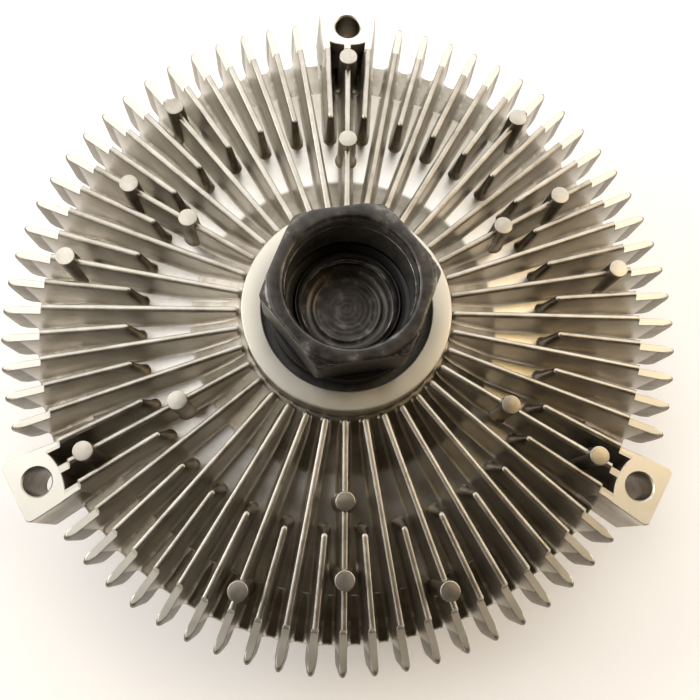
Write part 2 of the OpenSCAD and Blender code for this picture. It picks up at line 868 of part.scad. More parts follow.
module rotor() {
  color("LightSteelBlue") {
    turned([
      [rotor_seat_r, bearing_bottom_z],
      [rotor_hub_r - rotor_bevel, bearing_bottom_z],
      [rotor_hub_r, bearing_bottom_z - rotor_bevel],
      [rotor_hub_r, rotor_top_z + rotor_foot_h],
      [rotor_hub_r + rotor_foot_w, rotor_top_z],
      [rotor_r, rotor_top_z],
      [rotor_r, rotor_bottom_z],
      [rotor_dish_r, rotor_bottom_z],
      [rotor_dish_r - rotor_dish_slope, rotor_hub_bottom_z],
      [rotor_seat_r, rotor_hub_bottom_z]
    ]);
    for (n = [0 : land_count - 1])
      turned([
        [land_r - n * land_pitch - land_t / 2, rotor_top_z - bite],
        [land_r - n * land_pitch + land_t / 2, rotor_top_z - bite],
        [land_r - n * land_pitch + land_t / 2, rotor_top_z + rotor_land_h],
        [land_r - n * land_pitch - land_t / 2, rotor_top_z + rotor_land_h]
      ]);
  }
}

module separator_plate() {
  color("LightGray")
    difference() {
      bar(plate_r, plate_bottom_z, plate_top_z, round_fn);
      translate([supply_x, 0, 0]) bar(supply_d / 2, plate_bottom_z - bite, plate_top_z + bite, small_fn);
      translate([-rivet_x, 0, 0]) bar(rivet_r, plate_bottom_z - bite, plate_top_z + bite, small_fn);
      rotate([0, 0, first_lug]) translate([ledge_r - return_in, 0, 0])
        bar(return_d / 2, plate_bottom_z - bite, plate_top_z + bite, small_fn);
      for (n = [0 : plate_screw_count - 1])
        rotate([0, 0, (n + 0.5) * plate_screw_step]) translate([plate_screw_r, 0, 0])
          bar(plate_screw_d / 2, plate_bottom_z - bite, plate_top_z + bite, small_fn);
    }
}

module separator_screws() {
  color("SlateGray")
    for (n = [0 : plate_screw_count - 1])
      rotate([0, 0, (n + 0.5) * plate_screw_step]) translate([plate_screw_r, 0, 0])
        difference() {
          union() {
            bar(plate_screw_d / 2, plate_top_z - plate_screw_len, plate_top_z + bite / 2, small_fn);
            bar(plate_screw_head_r, plate_top_z, plate_top_z + plate_screw_head_h, small_fn);
          }
          bar(plate_screw_d / 4, plate_top_z + plate_screw_head_h / 2,
              plate_top_z + plate_screw_head_h + bite, hex_sides);
        }
}

wiper_angle = 12;
wiper_h = 5.6;
wiper_gap = 0.5;
wiper_turn = 4;
wiper_in_r = rotor_r + wiper_gap;

module pump_wiper() {
  color("LightGray")
    rotate([0, 0, first_lug - wiper_angle - wiper_turn])
      rotate_extrude(angle = wiper_angle, $fn = round_fn)
        translate([wiper_in_r, plate_top_z]) square([plate_r - wiper_in_r, wiper_h]);
}

module valve_lever() {
  color("Gold")
    difference() {
      union() {
        translate([-rivet_x - lever_end, -lever_w / 2, lever_bottom_z])
          cube([rivet_x + supply_x + lever_end, lever_w, lever_t]);
        translate([supply_x, 0, 0]) bar(lever_w / 2 + lever_eye, lever_bottom_z, lever_top_z, small_fn);
        translate([supply_x, 0, 0])
          bar(lever_pad_r, lever_top_z - lever_t / 2, plate_bottom_z - lever_gap, small_fn);
        translate([-rivet_x, lever_w / 2, lever_top_z - lever_t / 2])
          rotate([90, 0, 0]) cylinder(r = bead_r, h = lever_w, $fn = small_fn);
      }
      translate([-rivet_x, 0, 0])
        bar(rivet_hole_r, lever_bottom_z - bite, lever_top_z + bite, small_fn);
    }
}

module valve_rivet() {
  color("SlateGray")
    translate([-rivet_x, 0, 0]) {
      bar(rivet_r, lever_bottom_z - rivet_gap - rivet_head_h / 2, plate_top_z, small_fn);
      bar(rivet_head_r, lever_bottom_z - rivet_gap - rivet_head_h, lever_bottom_z - rivet_gap, small_fn);
    }
}

module switching_pin() {
  color("Gainsboro")
    turned(concat(
      [[0, strip_z], [pin_r - pin_nose / 2, strip_z], [pin_r, strip_z + pin_nose / 2]],
      quarter(pin_r, pin_top_z, pin_r, pin_nose)
    ));
}

module pin_seal() {
  color("Black")
    rotate_extrude($fn = round_fn)
      translate([pin_r + pin_play, pin_seal_z - pin_seal_r])
        square([2 * pin_seal_r - pin_play, 2 * pin_seal_r]);
}

module bimetal_strip() {
  color("DarkKhaki")
    translate([0, 0, strip_z - strip_t / 2])
      cube([strip_l, strip_w, strip_t], center = true);
}

rear_housing();
front_cover();
cover_seal();
cover_screws();
drive_hub();
bearing_outer_ring();
bearing_inner_ring();
bearing_balls();
bearing_cage();
bearing_rear_seal();
bearing_front_seal();
bearing_circlip();
rotor();
rotor_circlip();
separator_plate();
separator_screws();
pump_wiper();
valve_lever();
valve_rivet();
switching_pin();
pin_seal();
bimetal_strip();
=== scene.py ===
import math

import bmesh
import bpy
import numpy as np
from mathutils import Matrix, Vector


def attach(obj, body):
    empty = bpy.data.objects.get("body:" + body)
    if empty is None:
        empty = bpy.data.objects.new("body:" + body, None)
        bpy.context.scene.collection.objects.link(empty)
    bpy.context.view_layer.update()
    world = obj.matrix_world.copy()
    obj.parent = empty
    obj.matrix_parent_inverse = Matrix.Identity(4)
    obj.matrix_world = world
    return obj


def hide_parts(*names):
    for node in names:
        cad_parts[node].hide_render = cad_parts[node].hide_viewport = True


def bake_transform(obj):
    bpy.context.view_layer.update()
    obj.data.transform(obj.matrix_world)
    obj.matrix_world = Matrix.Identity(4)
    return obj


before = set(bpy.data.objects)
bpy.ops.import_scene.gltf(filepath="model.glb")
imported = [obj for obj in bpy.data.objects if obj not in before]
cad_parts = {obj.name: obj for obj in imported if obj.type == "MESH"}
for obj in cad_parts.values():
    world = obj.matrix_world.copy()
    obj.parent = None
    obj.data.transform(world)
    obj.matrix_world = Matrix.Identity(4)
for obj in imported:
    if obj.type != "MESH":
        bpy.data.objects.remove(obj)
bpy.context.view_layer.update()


# Rear housing, the shell.
# The engine-side half of the clutch is a pressure die casting in aluminium. Its floor is a shallow cone
# that the fins stand on, and the collar in the middle is turned bright and holds the bearing.
mm = 0.001
lug_angles = (90, 210, 330)
sectors = len(lug_angles)
bolt_circle_r, nut_space_r, nut_space_top = 76.5, 6.2, -14.9
mouth_r, collar_r, collar_top = 18.9, 23.35, 8.0
seat_r, seat_top = 20.0, 5.0
groove_r, groove_top, groove_low = 21.25, -7.0, -8.8
sleeve_r, sleeve_low = 24.5, -10.3
fin_in_r, fin_in_z = 24.4, 0.9
cone_r, cone_z = 36.0, -5.2
step_r, step_top, step_foot = 62.3, -7.4, -7.9
rim_r, rim_top, split = 73.7, -11.9, -18.0
chamber_r, chamber_top = 60.5, -11.4
floor_line = ((collar_r, fin_in_z), (fin_in_r, fin_in_z), (cone_r, cone_z), (step_r, step_top),
              (step_r + 0.01, step_foot), (rim_r, rim_top))


def floor_z(r):
    """Height of the floor between the fins."""
    return np.interp(r, [p[0] for p in floor_line], [p[1] for p in floor_line])


def rounded(corners, steps=4):
    """A closed r-z outline whose corners, each given as (r, z, radius), are rounded off."""
    outline = []
    for i, (r, z, radius) in enumerate(corners):
        corner = np.array((r, z))
        if radius == 0:
            outline.append(corner)
            continue
        back = np.array(corners[i - 1][:2]) - corner
        ahead = np.array(corners[(i + 1) % len(corners)][:2]) - corner
        start = corner + back * min(radius / np.linalg.norm(back), 0.48)
        end = corner + ahead * min(radius / np.linalg.norm(ahead), 0.48)
        for t in np.linspace(0, 1, steps + 1):
            outline.append((1 - t) ** 2 * start + 2 * t * (1 - t) * corner + t ** 2 * end)
    return outline


def loft(rings, closed=False, caps=(False, False)):
    """Vertices and faces of a skin over rings with equally many points; either end can have a cap."""
    n = len(rings[0])
    verts = [point for ring in rings for point in ring]
    faces = []
    for k in range(len(rings) if closed else len(rings) - 1):
        here, there = k * n, (k + 1) % len(rings) * n
        faces += [(here + i, here + (i + 1) % n, there + (i + 1) % n, there + i) for i in range(n)]
    ends = (range(n), range(len(verts) - n, len(verts)))
    faces += [tuple(end) for end, cap in zip(ends, caps) if cap]
    return verts, faces


def turned(outline, segments=288, x=0.0):
    """A ring turned from a closed r-z outline, about the spin axis or an axis further out along X."""
    angles = np.linspace(0, 2 * math.pi, segments, endpoint=False)
    rings = [[(x + r * math.cos(a), r * math.sin(a), z) for r, z in outline] for a in angles]
    return loft(rings, closed=True)


def piece(name, verts, faces, sharp=38):
    """A mesh object from points in millimetres: doubles merged, faces outwards, creases kept sharp."""
    mesh = bpy.data.meshes.new(name)
    mesh.from_pydata([(x * mm, y * mm, z * mm) for x, y, z in verts], [], faces)
    work = bmesh.new()
    work.from_mesh(mesh)
    bmesh.ops.remove_doubles(work, verts=work.verts, dist=1e-7)
    bmesh.ops.recalc_face_normals(work, faces=work.faces)
    work.to_mesh(mesh)
    work.free()
    mesh.shade_smooth()
    mesh.set_sharp_from_angle(angle=math.radians(sharp))
    obj = bpy.data.objects.new(name, mesh)
    bpy.context.scene.collection.objects.link(obj)
    return obj


def cut(obj, verts, faces, sharp=38):
    """Takes a solid, given as points and faces, out of a piece."""
    tool = piece("cutter", verts, faces)
    change = obj.modifiers.new("cut", "BOOLEAN")
    change.object = tool
    change.solver = "EXACT"
    graph = bpy.context.evaluated_depsgraph_get()
    mesh = bpy.data.meshes.new_from_object(obj.evaluated_get(graph), depsgraph=graph)
    obj.modifiers.remove(change)
    obj.data = mesh
    bpy.data.objects.remove(tool)
    mesh.shade_smooth()
    mesh.set_sharp_from_angle(angle=math.radians(sharp))


def clear_nuts(obj, low, high, sides=48):
    """Cuts the round spaces for the fan bolts' nuts into a piece, one under each lug."""
    around = np.linspace(0, 2 * math.pi, sides, endpoint=False)
    for angle in np.radians(lug_angles):
        x, y = bolt_circle_r * math.cos(angle), bolt_circle_r * math.sin(angle)
        rings = [[(x + nut_space_r * math.cos(a), y + nut_space_r * math.sin(a), z) for a in around]
                 for z in (low, high)]
        cut(obj, *loft(rings, caps=(True, True)))


def places(obj):
    """The x, y and z of a piece's vertices, in millimetres."""
    points = np.empty(len(obj.data.vertices) * 3)
    obj.data.vertices.foreach_get("co", points)
    return points.reshape(-1, 3).T / mm


def store(obj, name, values):
    """Keeps a number for each vertex, for the piece's material to read."""
    layer = obj.data.attributes.new(name, "FLOAT", "POINT")
    layer.data.foreach_set("value", values.astype(np.float32))


def paint(obj, crest, machined):
    """Stores how light the skin is at each point, -1 to 1, and which faces a tool has cut bright."""
    store(obj, "crest", np.clip(crest(*places(obj)), -1, 1))
    flags = [machined(f.center / mm, f.normal) for f in obj.data.polygons]
    obj.data.attributes.new("machined", "BOOLEAN", "FACE").data.foreach_set("value", flags)
    return flags


def add(tree, kind, inputs=(), **settings):
    """Adds a node; an input is a value or another node's output."""
    node = tree.nodes.new(kind)
    for key, value in settings.items():
        setattr(node, key, value)
    for key, value in dict(inputs).items():
        if isinstance(value, bpy.types.NodeSocket):
            tree.links.new(value, node.inputs[key])
        else:
            node.inputs[key].default_value = value
    return node


def maths(tree, operation, a, b=0.0, c=0.0, clamp=False):
    """Adds a maths node and gives its result."""
    return add(tree, "ShaderNodeMath", {0: a, 1: b, 2: c}, operation=operation, use_clamp=clamp).outputs[0]


def stored(tree, name):
    """What a piece keeps for each vertex under a name."""
    return add(tree, "ShaderNodeAttribute", attribute_name=name).outputs["Fac"]


def effect(name, inputs, outputs):
    """An empty shader group with named number inputs and outputs."""
    tree = bpy.data.node_groups.new(name, "ShaderNodeTree")
    for key, value in inputs.items():
        tree.interface.new_socket(key, in_out="INPUT", socket_type="NodeSocketFloat").default_value = value
    for key in outputs:
        tree.interface.new_socket(key, in_out="OUTPUT", socket_type="NodeSocketFloat")
    return tree, tree.nodes.new("NodeGroupInput"), tree.nodes.new("NodeGroupOutput")


def casting_skin():
    """Blotches and fine grain of a die-cast skin."""
    tree, given, result = effect("casting_skin", {"Blotch": 0.004, "Grain": 0.0003}, ("Blotches", "Grains"))
    place = add(tree, "ShaderNodeTexCoord").outputs["Object"]
    for size, detail, rough, out in (("Blotch", 5, 0.6, "Blotches"), ("Grain", 3, 0.7, "Grains")):
        scale = maths(tree, "DIVIDE", 1.0, given.outputs[size])
        noise = add(tree, "ShaderNodeTexNoise",
                    {"Vector": place, "Scale": scale, "Detail": detail, "Roughness": rough})
        tree.links.new(noise.outputs["Fac"], result.inputs[out])
    return tree


def turning_marks():
    """Fine rings about the spin axis, as a lathe tool leaves them."""
    tree, given, result = effect("turning_marks", {"Pitch": 0.0004, "Waver": 0.3}, ("Rings",))
    place = add(tree, "ShaderNodeTexCoord").outputs["Object"]
    apart = add(tree, "ShaderNodeSeparateXYZ", {"Vector": place})
    square = maths(tree, "MULTIPLY", apart.outputs["X"], apart.outputs["X"])
    square = maths(tree, "MULTIPLY_ADD", apart.outputs["Y"], apart.outputs["Y"], square)
    radius = maths(tree, "SQRT", square)
    noise = add(tree, "ShaderNodeTexNoise", {"Vector": place, "Scale": 900.0, "Detail": 2.0})
    turns = maths(tree, "DIVIDE", radius, given.outputs["Pitch"])
    turns = maths(tree, "MULTIPLY_ADD", noise.outputs["Fac"], given.outputs["Waver"], turns)
    wave = maths(tree, "SINE", maths(tree, "MULTIPLY", turns, 2 * math.pi))
    tree.links.new(maths(tree, "MULTIPLY_ADD", wave, 0.5, 0.5), result.inputs["Rings"])
    return tree


skin = casting_skin()
marks = turning_marks()


def new_finish(name, metallic, **sockets):
    """A material with its shader, ready for nodes; plain values go straight on the shader."""
    material = bpy.data.materials.new(name)
    material.use_nodes = True
    shader = material.node_tree.nodes["Principled BSDF"]
    shader.inputs["Metallic"].default_value = metallic
    for key, value in sockets.items():
        shader.inputs[key.replace("_", " ")].default_value = value
    return material, material.node_tree, shader


def ramp(tree, factor, stops):
    """Turns a number into a colour, between stops that are each a place and a colour."""
    node = add(tree, "ShaderNodeValToRGB", {"Fac": factor})
    while len(node.color_ramp.elements) < len(stops):
        node.color_ramp.elements.new(0.5)
    for element, (place, colour) in zip(node.color_ramp.elements, stops):
        element.position = place
        element.color = (*colour, 1)
    return node.outputs["Color"]


def bump(tree, shader, height, depth, strength):
    """Gives a finish its fine relief."""
    node = add(tree, "ShaderNodeBump", {"Height": height, "Distance": depth, "Strength": strength})
    tree.links.new(node.outputs["Normal"], shader.inputs["Normal"])


def cast_aluminium():
    """The casting's stained skin: crest, polish and tone make it lighter, and polish smooths its grain; a low
    crest gives the painted shade.
    """
    material, tree, shader = new_finish("cast_aluminium", 1.0)
    group = add(tree, "ShaderNodeGroup", {"Blotch": 0.005, "Grain": 0.0004}, node_tree=skin).outputs
    shade = maths(tree, "MULTIPLY_ADD", group["Blotches"], 0.7, -0.25)
    for name, share in (("crest", 0.4), ("polish", 0.36), ("tone", 0.16)):
        shade = maths(tree, "MULTIPLY_ADD", stored(tree, name), share, shade)
    shade = maths(tree, "MULTIPLY_ADD", group["Grains"], 0.12, shade, clamp=True)
    stain_and_shade_colours = ((0.0, (0.16, 0.133, 0.10)), (0.3, (0.42, 0.38, 0.315)), (0.6, (0.62, 0.58, 0.515)),
              (0.75, (0.70, 0.67, 0.615)), (1.0, (0.80, 0.795, 0.785)))
    tree.links.new(ramp(tree, shade, stain_and_shade_colours), shader.inputs["Base Color"])
    polish = stored(tree, "polish")
    rough = maths(tree, "MULTIPLY_ADD", group["Blotches"], 0.22, 0.25)
    rough = maths(tree, "MULTIPLY_ADD", polish, -0.03, rough)
    tree.links.new(rough, shader.inputs["Roughness"])
    smoothed = maths(tree, "MULTIPLY", group["Grains"], polish)
    bump(tree, shader, maths(tree, "MULTIPLY_ADD", smoothed, -0.6, group["Grains"]), 0.00006, 0.5)
    return material


def machined_aluminium():
    """Faces cut by a tool: bright, with the rings that the tool left."""
    material, tree, shader = new_finish("machined_aluminium", 1.0)
    group = add(tree, "ShaderNodeGroup", {"Blotch": 0.006, "Grain": 0.0005}, node_tree=skin).outputs
    rings = add(tree, "ShaderNodeGroup", {"Pitch": 0.00045, "Waver": 0.4}, node_tree=marks).outputs["Rings"]
    shade = maths(tree, "MULTIPLY_ADD", group["Blotches"], 0.4, -0.15)
    shade = maths(tree, "MULTIPLY_ADD", stored(tree, "crest"), 0.8, shade)
    shade = maths(tree, "MULTIPLY_ADD", rings, 0.1, shade, clamp=True)
    colour = ramp(tree, shade, ((0.0, (0.56, 0.515, 0.43)), (1.0, (0.87, 0.83, 0.74))))
    tree.links.new(colour, shader.inputs["Base Color"])
    rough = maths(tree, "MULTIPLY_ADD", group["Blotches"], 0.24, 0.32)
    tree.links.new(rough, shader.inputs["Roughness"])
    bump(tree, shader, rings, 0.000008, 0.4)
    return material


cast = cast_aluminium()
bright = machined_aluminium()


def show(obj, crest, machined):
    """Gives a casting its two finishes: the skin, and the faces that a tool has cut."""
    flags = paint(obj, crest, machined)
    obj.data.materials.clear()
    obj.data.materials.append(cast)
    obj.data.materials.append(bright)
    for face, cut_bright in zip(obj.data.polygons, flags):
        face.material_index = int(cut_bright)


shell_outline = rounded([
    (mouth_r, seat_top, 0), (mouth_r, collar_top, 0.3), (collar_r, collar_top, 0.5),
    (collar_r, fin_in_z, 0.5), (fin_in_r, fin_in_z, 0.5), (cone_r, cone_z, 0.8),
    (step_r, step_top, 0.3), (step_r, step_foot - 0.05, 0.3), (rim_r, rim_top, 1.0), (rim_r, split, 0.4),
    (chamber_r, split, 0.3), (chamber_r, chamber_top, 0.5), (cone_r, chamber_top, 2.0),
    (sleeve_r, step_top, 1.0), (sleeve_r, sleeve_low, 0.4), (seat_r, sleeve_low, 0.2),
    (seat_r, groove_low, 0), (groove_r, groove_low, 0), (groove_r, groove_top, 0), (seat_r, groove_top, 0),
    (seat_r, seat_top, 0)])
rear_shell = piece("rear_housing_shell", *turned(shell_outline))
clear_nuts(rear_shell, split - 4.0, nut_space_top)


def shell_crest(x, y, z):
    """The floor is light and darker on the cone by the collar and past the step; by the lugs it is painted
    dark, as shade.
    """
    r = np.hypot(x, y)
    level = np.interp(r, (24.0, 30.0, 35.5, 36.5, 46.0, 60.0, 62.2, 62.5, 73.0),
                      (0.15, 0.2, 0.25, 0.65, 0.65, 0.6, 0.55, 0.35, 0.35))
    sector = 360 / sectors
    from_lug = np.abs((np.degrees(np.arctan2(y, x)) - lug_angles[0] + sector / 2) % sector - sector / 2)
    # Painted shade: the floor darkens between the fins beside each lug and under the lug.
    level -= 1.1 * np.clip((r - 59) / 4, 0, 1) * np.clip((5.6 - from_lug) / 0.8, 0, 1)
    return np.where(z < rim_top - 0.1, 0.45, level)


def shell_machined(c, n):
    """A tool has cut the collar and the face that the cover meets."""
    return (math.hypot(c.x, c.y) < collar_r + 0.25 and c.z > 1.5) or c.z < split + 0.1


show(rear_shell, shell_crest, shell_machined)
x, y, z = places(rear_shell)
polished = np.interp(np.hypot(x, y), (cone_r - 0.5, cone_r + 0.5, 60.0, 62.0), (0, 1, 1, 0))
store(rear_shell, "polish", polished * (z > step_foot - 0.1))
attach(rear_shell, "housing")
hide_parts("rear_housing")


# Rear fins.
# Thin drafted ribs cast with the housing, long ones from the collar and short ones between them. Outside
# the register they are turned down level with the lugs, and their tips stand out past the rim as fingers.
fin_top, fin_fall = 4.1, math.tan(math.radians(1.0))
fin_half, fin_draft = 0.675, math.tan(math.radians(2.8))
fin_step, short_fin_r, short_lean = 10, 47.0, math.tan(math.radians(9.5))
register_top_r, register_foot_r, turned_z = 67.92, 69.2, -0.01
crest_r, crest_h = 0.6, 0.42
tip_r, finger_r, straight_r, finger_low = 78.4, 76.0, 74.3, -11.5
nose_in, nose_out = 0.9, 1.8
nose_angles = np.radians((90, 70, 50, 32, 15, 0))
beside_turn, beside_off, beside_end_r = math.radians(2.94), 1.56, 74.4
lug_fin_end_r = 71.9


def cast_top(r):
    """Height of a fin's top as cast."""
    return fin_top - (r - fin_in_r) * fin_fall


def turned_top(r):
    """Height of a fin's top: as cast, then down the register, then level with the lugs."""
    heights = (fin_top, cast_top(register_top_r), turned_z)
    return float(np.interp(r, (fin_in_r, register_top_r, register_foot_r), heights))


def half_at(r, z):
    """Half a fin's thickness, which grows with its draft towards the foot."""
    return fin_half + (cast_top(r) - z) * fin_draft


def tip_line(z):
    """How far a finger reaches at a height: its upper corner is rounded and its lower one eased."""
    round_r, round_h, ease_z = 1.6, 3.2, -10.3
    rise = min(1.0, max(0.0, (z + round_h) / round_h))
    return tip_r - round_r * (1 - math.sqrt(1 - rise ** 2)) - max(0.0, ease_z - z)


def fin_profile(r):
    """Heights and insets of one side of a fin, from its foot to its crest, at a place along it."""
    top, low = turned_top(r), finger_low if r > rim_r else float(floor_z(r))
    half = half_at(r, top)
    foot = [(low - 0.2, -1.15), (low + 0.14, -0.42), (low + 0.5, -0.1), (low + 1.1, 0.0)]
    if r > rim_r:
        foot = [(low, 0.6), (low + 0.12, 0.15), (low + 0.4, 0.0), (low + 1.2, 0.0)]
    crest = [(2.7, 0.0), (1.6, 0.0), (0.9, 0.0)]
    if r > register_top_r:
        crest += [(0.45, 0.0), (0.07, 0.0), (0.0, 0.07), (0.0, 0.35 * half), (0.0, 0.7 * half)]
    else:
        bends = np.radians((0, 25, 48, 70))
        crest += [(crest_h * (1 - math.sin(a)), crest_r * (1 - math.cos(a))) for a in bends]
        crest.append((0.0, crest_r))
    squeeze = min(1.0, (top - low - 1.4) / 4.0)
    crest = [(top - depth * squeeze, inset) for depth, inset in crest]
    return foot + [((foot[-1][0] + crest[0][0]) / 2, 0.0)] + crest


def inner_end(start_r, lean):
    """Profiles around a fin's inner end, which can lean, with feet that follow the floor."""
    r = start_r + nose_in
    low = float(floor_z(r))
    stations = []
    for angle in nose_angles:
        station = []
        for k, (z, inset) in enumerate(fin_profile(r)):
            inset *= 0.65 if inset < 0 else 1.0
            x = start_r + lean * (z - low) + nose_in - (nose_in - inset) * math.sin(angle)
            if k < 3:
                z += float(floor_z(x)) - low
            station.append((x, (half_at(r, z) - inset) * math.cos(angle), z))
        stations.append(station)
    return stations


def finger_end():
    """Profiles around the tip of a finger."""
    stations = []
    for angle in reversed(nose_angles):
        station = []
        for z, inset in fin_profile(finger_r):
            x = tip_line(z) - nose_out + (nose_out - inset) * math.sin(angle)
            station.append((x, (half_at(finger_r, z) - inset) * math.cos(angle), z))
        stations.append(station)
    return stations


def fin_mesh(name, start_r, end_r, lean=0.0, off=0.0, turn=0.0):
    """One fin along X: upright profiles that run around its inner end, along it and around its tip."""
    whole = end_r == tip_r
    spots = {start_r + 3.4, 28.0, 32.0, 35.5, 36.5, 42.0, 47.0, 52.0, 57.0, 61.5, 64.5, 67.0, register_top_r,
             67.94, 68.5, register_foot_r, 69.25, 71.0, 72.4, 73.4, 73.75, straight_r, end_r}
    stations = inner_end(start_r, lean)
    for r in sorted(s for s in spots if start_r + 3.3 < s <= (straight_r if whole else end_r)):
        stations.append([(r, half_at(r, z) - inset, z) for z, inset in fin_profile(r)])
    if whole:
        stations += finger_end()
    cosine, sine = math.cos(turn), math.sin(turn)
    rings = []
    for station in stations:
        around = station + [(x, -y, z) for x, y, z in reversed(station)]
        rings.append([(x * cosine - y * sine, x * sine + y * cosine + off, z) for x, y, z in around])
    fin = piece(name, *loft(rings, caps=(False, not whole)), 36)
    paint(fin, lambda x, y, z: fin_crest(x, y, z, start_r), fin_machined)
    return fin


def fin_crest(x, y, z, start_r):
    """A fin's sides are light and its crest is duller; its finger and a short fin's start are painted dark,
    as shade.
    """
    r = np.hypot(x, y)
    low = np.where(r > rim_r, -12.0, floor_z(r))
    top = np.where(r > register_foot_r, 0.0, cast_top(r))
    share = (z - low) / (top - low)
    # The finger's sides are painted dark, as shade, and the crest is made duller.
    level = np.where(r > rim_r, -0.4, 0.95) - 0.1 * share - 0.6 * np.clip((z - top + 1.1) / 1.0, 0, 1)
    level = np.where((r > register_foot_r) & (z > -0.1), 0.35, level)
    # Painted shadow: a short fin's start is darkened below its top, as the shadow round its nose.
    return level - 1.2 * ((r < start_r + 2.4) & (r > 40) & (z < top - 0.3))


def fin_machined(c, n):
    """A tool has cut the fins' tops outside the register, and the slope of the register itself."""
    r = math.hypot(c.x, c.y)
    level_top = r > register_top_r and n.z > 0.8 and c.z > -0.12
    return level_top or (register_top_r < r < register_foot_r and n.z > 0.25)


def sector_ring():
    """A tree that sets copies of one piece around the axis, the same way in each sector."""
    tree = bpy.data.node_groups.new("sector_ring", "GeometryNodeTree")
    face = tree.interface
    kinds = (("Piece", "Object"), ("Sectors", "Int"), ("Per sector", "Int"), ("First angle", "Float"),
             ("Step angle", "Float"), ("Seed", "Int"), ("Skin", "Material"), ("Cut faces", "Material"))
    for key, kind in kinds:
        face.new_socket(key, in_out="INPUT", socket_type="NodeSocket" + kind)
    face.new_socket("Geometry", in_out="OUTPUT", socket_type="NodeSocketGeometry")
    given = tree.nodes.new("NodeGroupInput").outputs
    result = tree.nodes.new("NodeGroupOutput")
    count = maths(tree, "MULTIPLY", given["Sectors"], given["Per sector"])
    points = add(tree, "GeometryNodePoints", {"Count": count})
    index = tree.nodes.new("GeometryNodeInputIndex").outputs["Index"]
    sector = maths(tree, "FLOOR", maths(tree, "DIVIDE", index, given["Per sector"]))
    within = maths(tree, "SUBTRACT", index, maths(tree, "MULTIPLY", sector, given["Per sector"]))
    angle = maths(tree, "MULTIPLY_ADD", within, given["Step angle"], given["First angle"])
    angle = maths(tree, "MULTIPLY_ADD", sector, maths(tree, "DIVIDE", 2 * math.pi, given["Sectors"]), angle)
    spin = add(tree, "FunctionNodeEulerToRotation",
               {"Euler": add(tree, "ShaderNodeCombineXYZ", {"Z": angle}).outputs["Vector"]})
    shape = add(tree, "GeometryNodeObjectInfo", {"Object": given["Piece"]})
    copies = add(tree, "GeometryNodeInstanceOnPoints", {
        "Points": points.outputs[0], "Instance": shape.outputs["Geometry"],
        "Rotation": spin.outputs["Rotation"]})
    chance = add(tree, "FunctionNodeRandomValue", {"Seed": given["Seed"]}, data_type="FLOAT")
    named = add(tree, "GeometryNodeStoreNamedAttribute",
                {"Geometry": copies.outputs[0], "Name": "tone"}, data_type="FLOAT", domain="INSTANCE")
    tree.links.new(chance.outputs[1], named.inputs["Value"])
    whole = add(tree, "GeometryNodeRealizeInstances", {"Geometry": named.outputs[0]})
    skinned = add(tree, "GeometryNodeSetMaterial", {"Geometry": whole.outputs[0], "Material": given["Skin"]})
    flag = add(tree, "GeometryNodeInputNamedAttribute", {"Name": "machined"}, data_type="BOOLEAN")
    final = add(tree, "GeometryNodeSetMaterial", {
        "Geometry": skinned.outputs[0], "Selection": flag.outputs["Attribute"],
        "Material": given["Cut faces"]})
    tree.links.new(final.outputs[0], result.inputs[0])
    return tree


ring_tree = sector_ring()


def ring_of(name, shape, count, first, seed, per_sector=1, step=0, skin_finish=cast, cut_finish=bright):
    """Copies of a piece in a count of sectors about the spin axis, as one plain mesh; angles in degrees."""
    host = bpy.data.objects.new(name, bpy.data.meshes.new(name))
    bpy.context.scene.collection.objects.link(host)
    change = host.modifiers.new("ring", "NODES")
    change.node_group = ring_tree
    values = {"Piece": shape, "Sectors": count, "Per sector": per_sector, "First angle": math.radians(first),
              "Step angle": math.radians(step), "Seed": seed, "Skin": skin_finish, "Cut faces": cut_finish}
    for socket in ring_tree.interface.items_tree:
        if socket.in_out == "INPUT":
            change[socket.identifier] = values[socket.name]
    graph = bpy.context.evaluated_depsgraph_get()
    mesh = bpy.data.meshes.new_from_object(host.evaluated_get(graph), depsgraph=graph)
    host.modifiers.remove(change)
    host.data = mesh
    mesh.name = name
    bpy.data.objects.remove(shape)
    return host


at_lug = lug_angles[0]
beside_size = (short_fin_r, beside_end_r, short_lean)
fin_sets = (
    ("rear_fins_long", fin_mesh("long_fin", fin_in_r, tip_r), at_lug + fin_step, 11),
    ("rear_fins_at_lugs", fin_mesh("lug_fin", fin_in_r, lug_fin_end_r), at_lug, 1),
    ("rear_fins_short", fin_mesh("short_fin", short_fin_r, tip_r, short_lean), at_lug + 1.5 * fin_step, 10),
    ("rear_fins_left_of_lugs", fin_mesh("left_fin", *beside_size, beside_off, beside_turn), at_lug, 1),
    ("rear_fins_right_of_lugs", fin_mesh("right_fin", *beside_size, -beside_off, -beside_turn), at_lug, 1))
for seed, (name, fin, first, per_sector) in enumerate(fin_sets, 3):
    fins = ring_of(name, fin, sectors, first, seed, per_sector, fin_step)
    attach(fins, "housing")


# Fan lugs.
# Three lugs cast on the rim carry the fan. Their faces are turned in one plane with the fin tips, and
# each is drilled for a bolt whose nut sits in the clearance under it.
lug_half_angle, lug_draft = math.radians(5.07), math.tan(math.radians(3.5))
lug_round_r, lug_centre_r = 12.0, 83.2
lug_web_r, lug_flank_r, lug_out_r = 69.4, 74.2, 81.9
lug_corner_r, lug_corner_in = 1.3, 1.1
bolt_r, bolt_ease = 3.1, 0.35


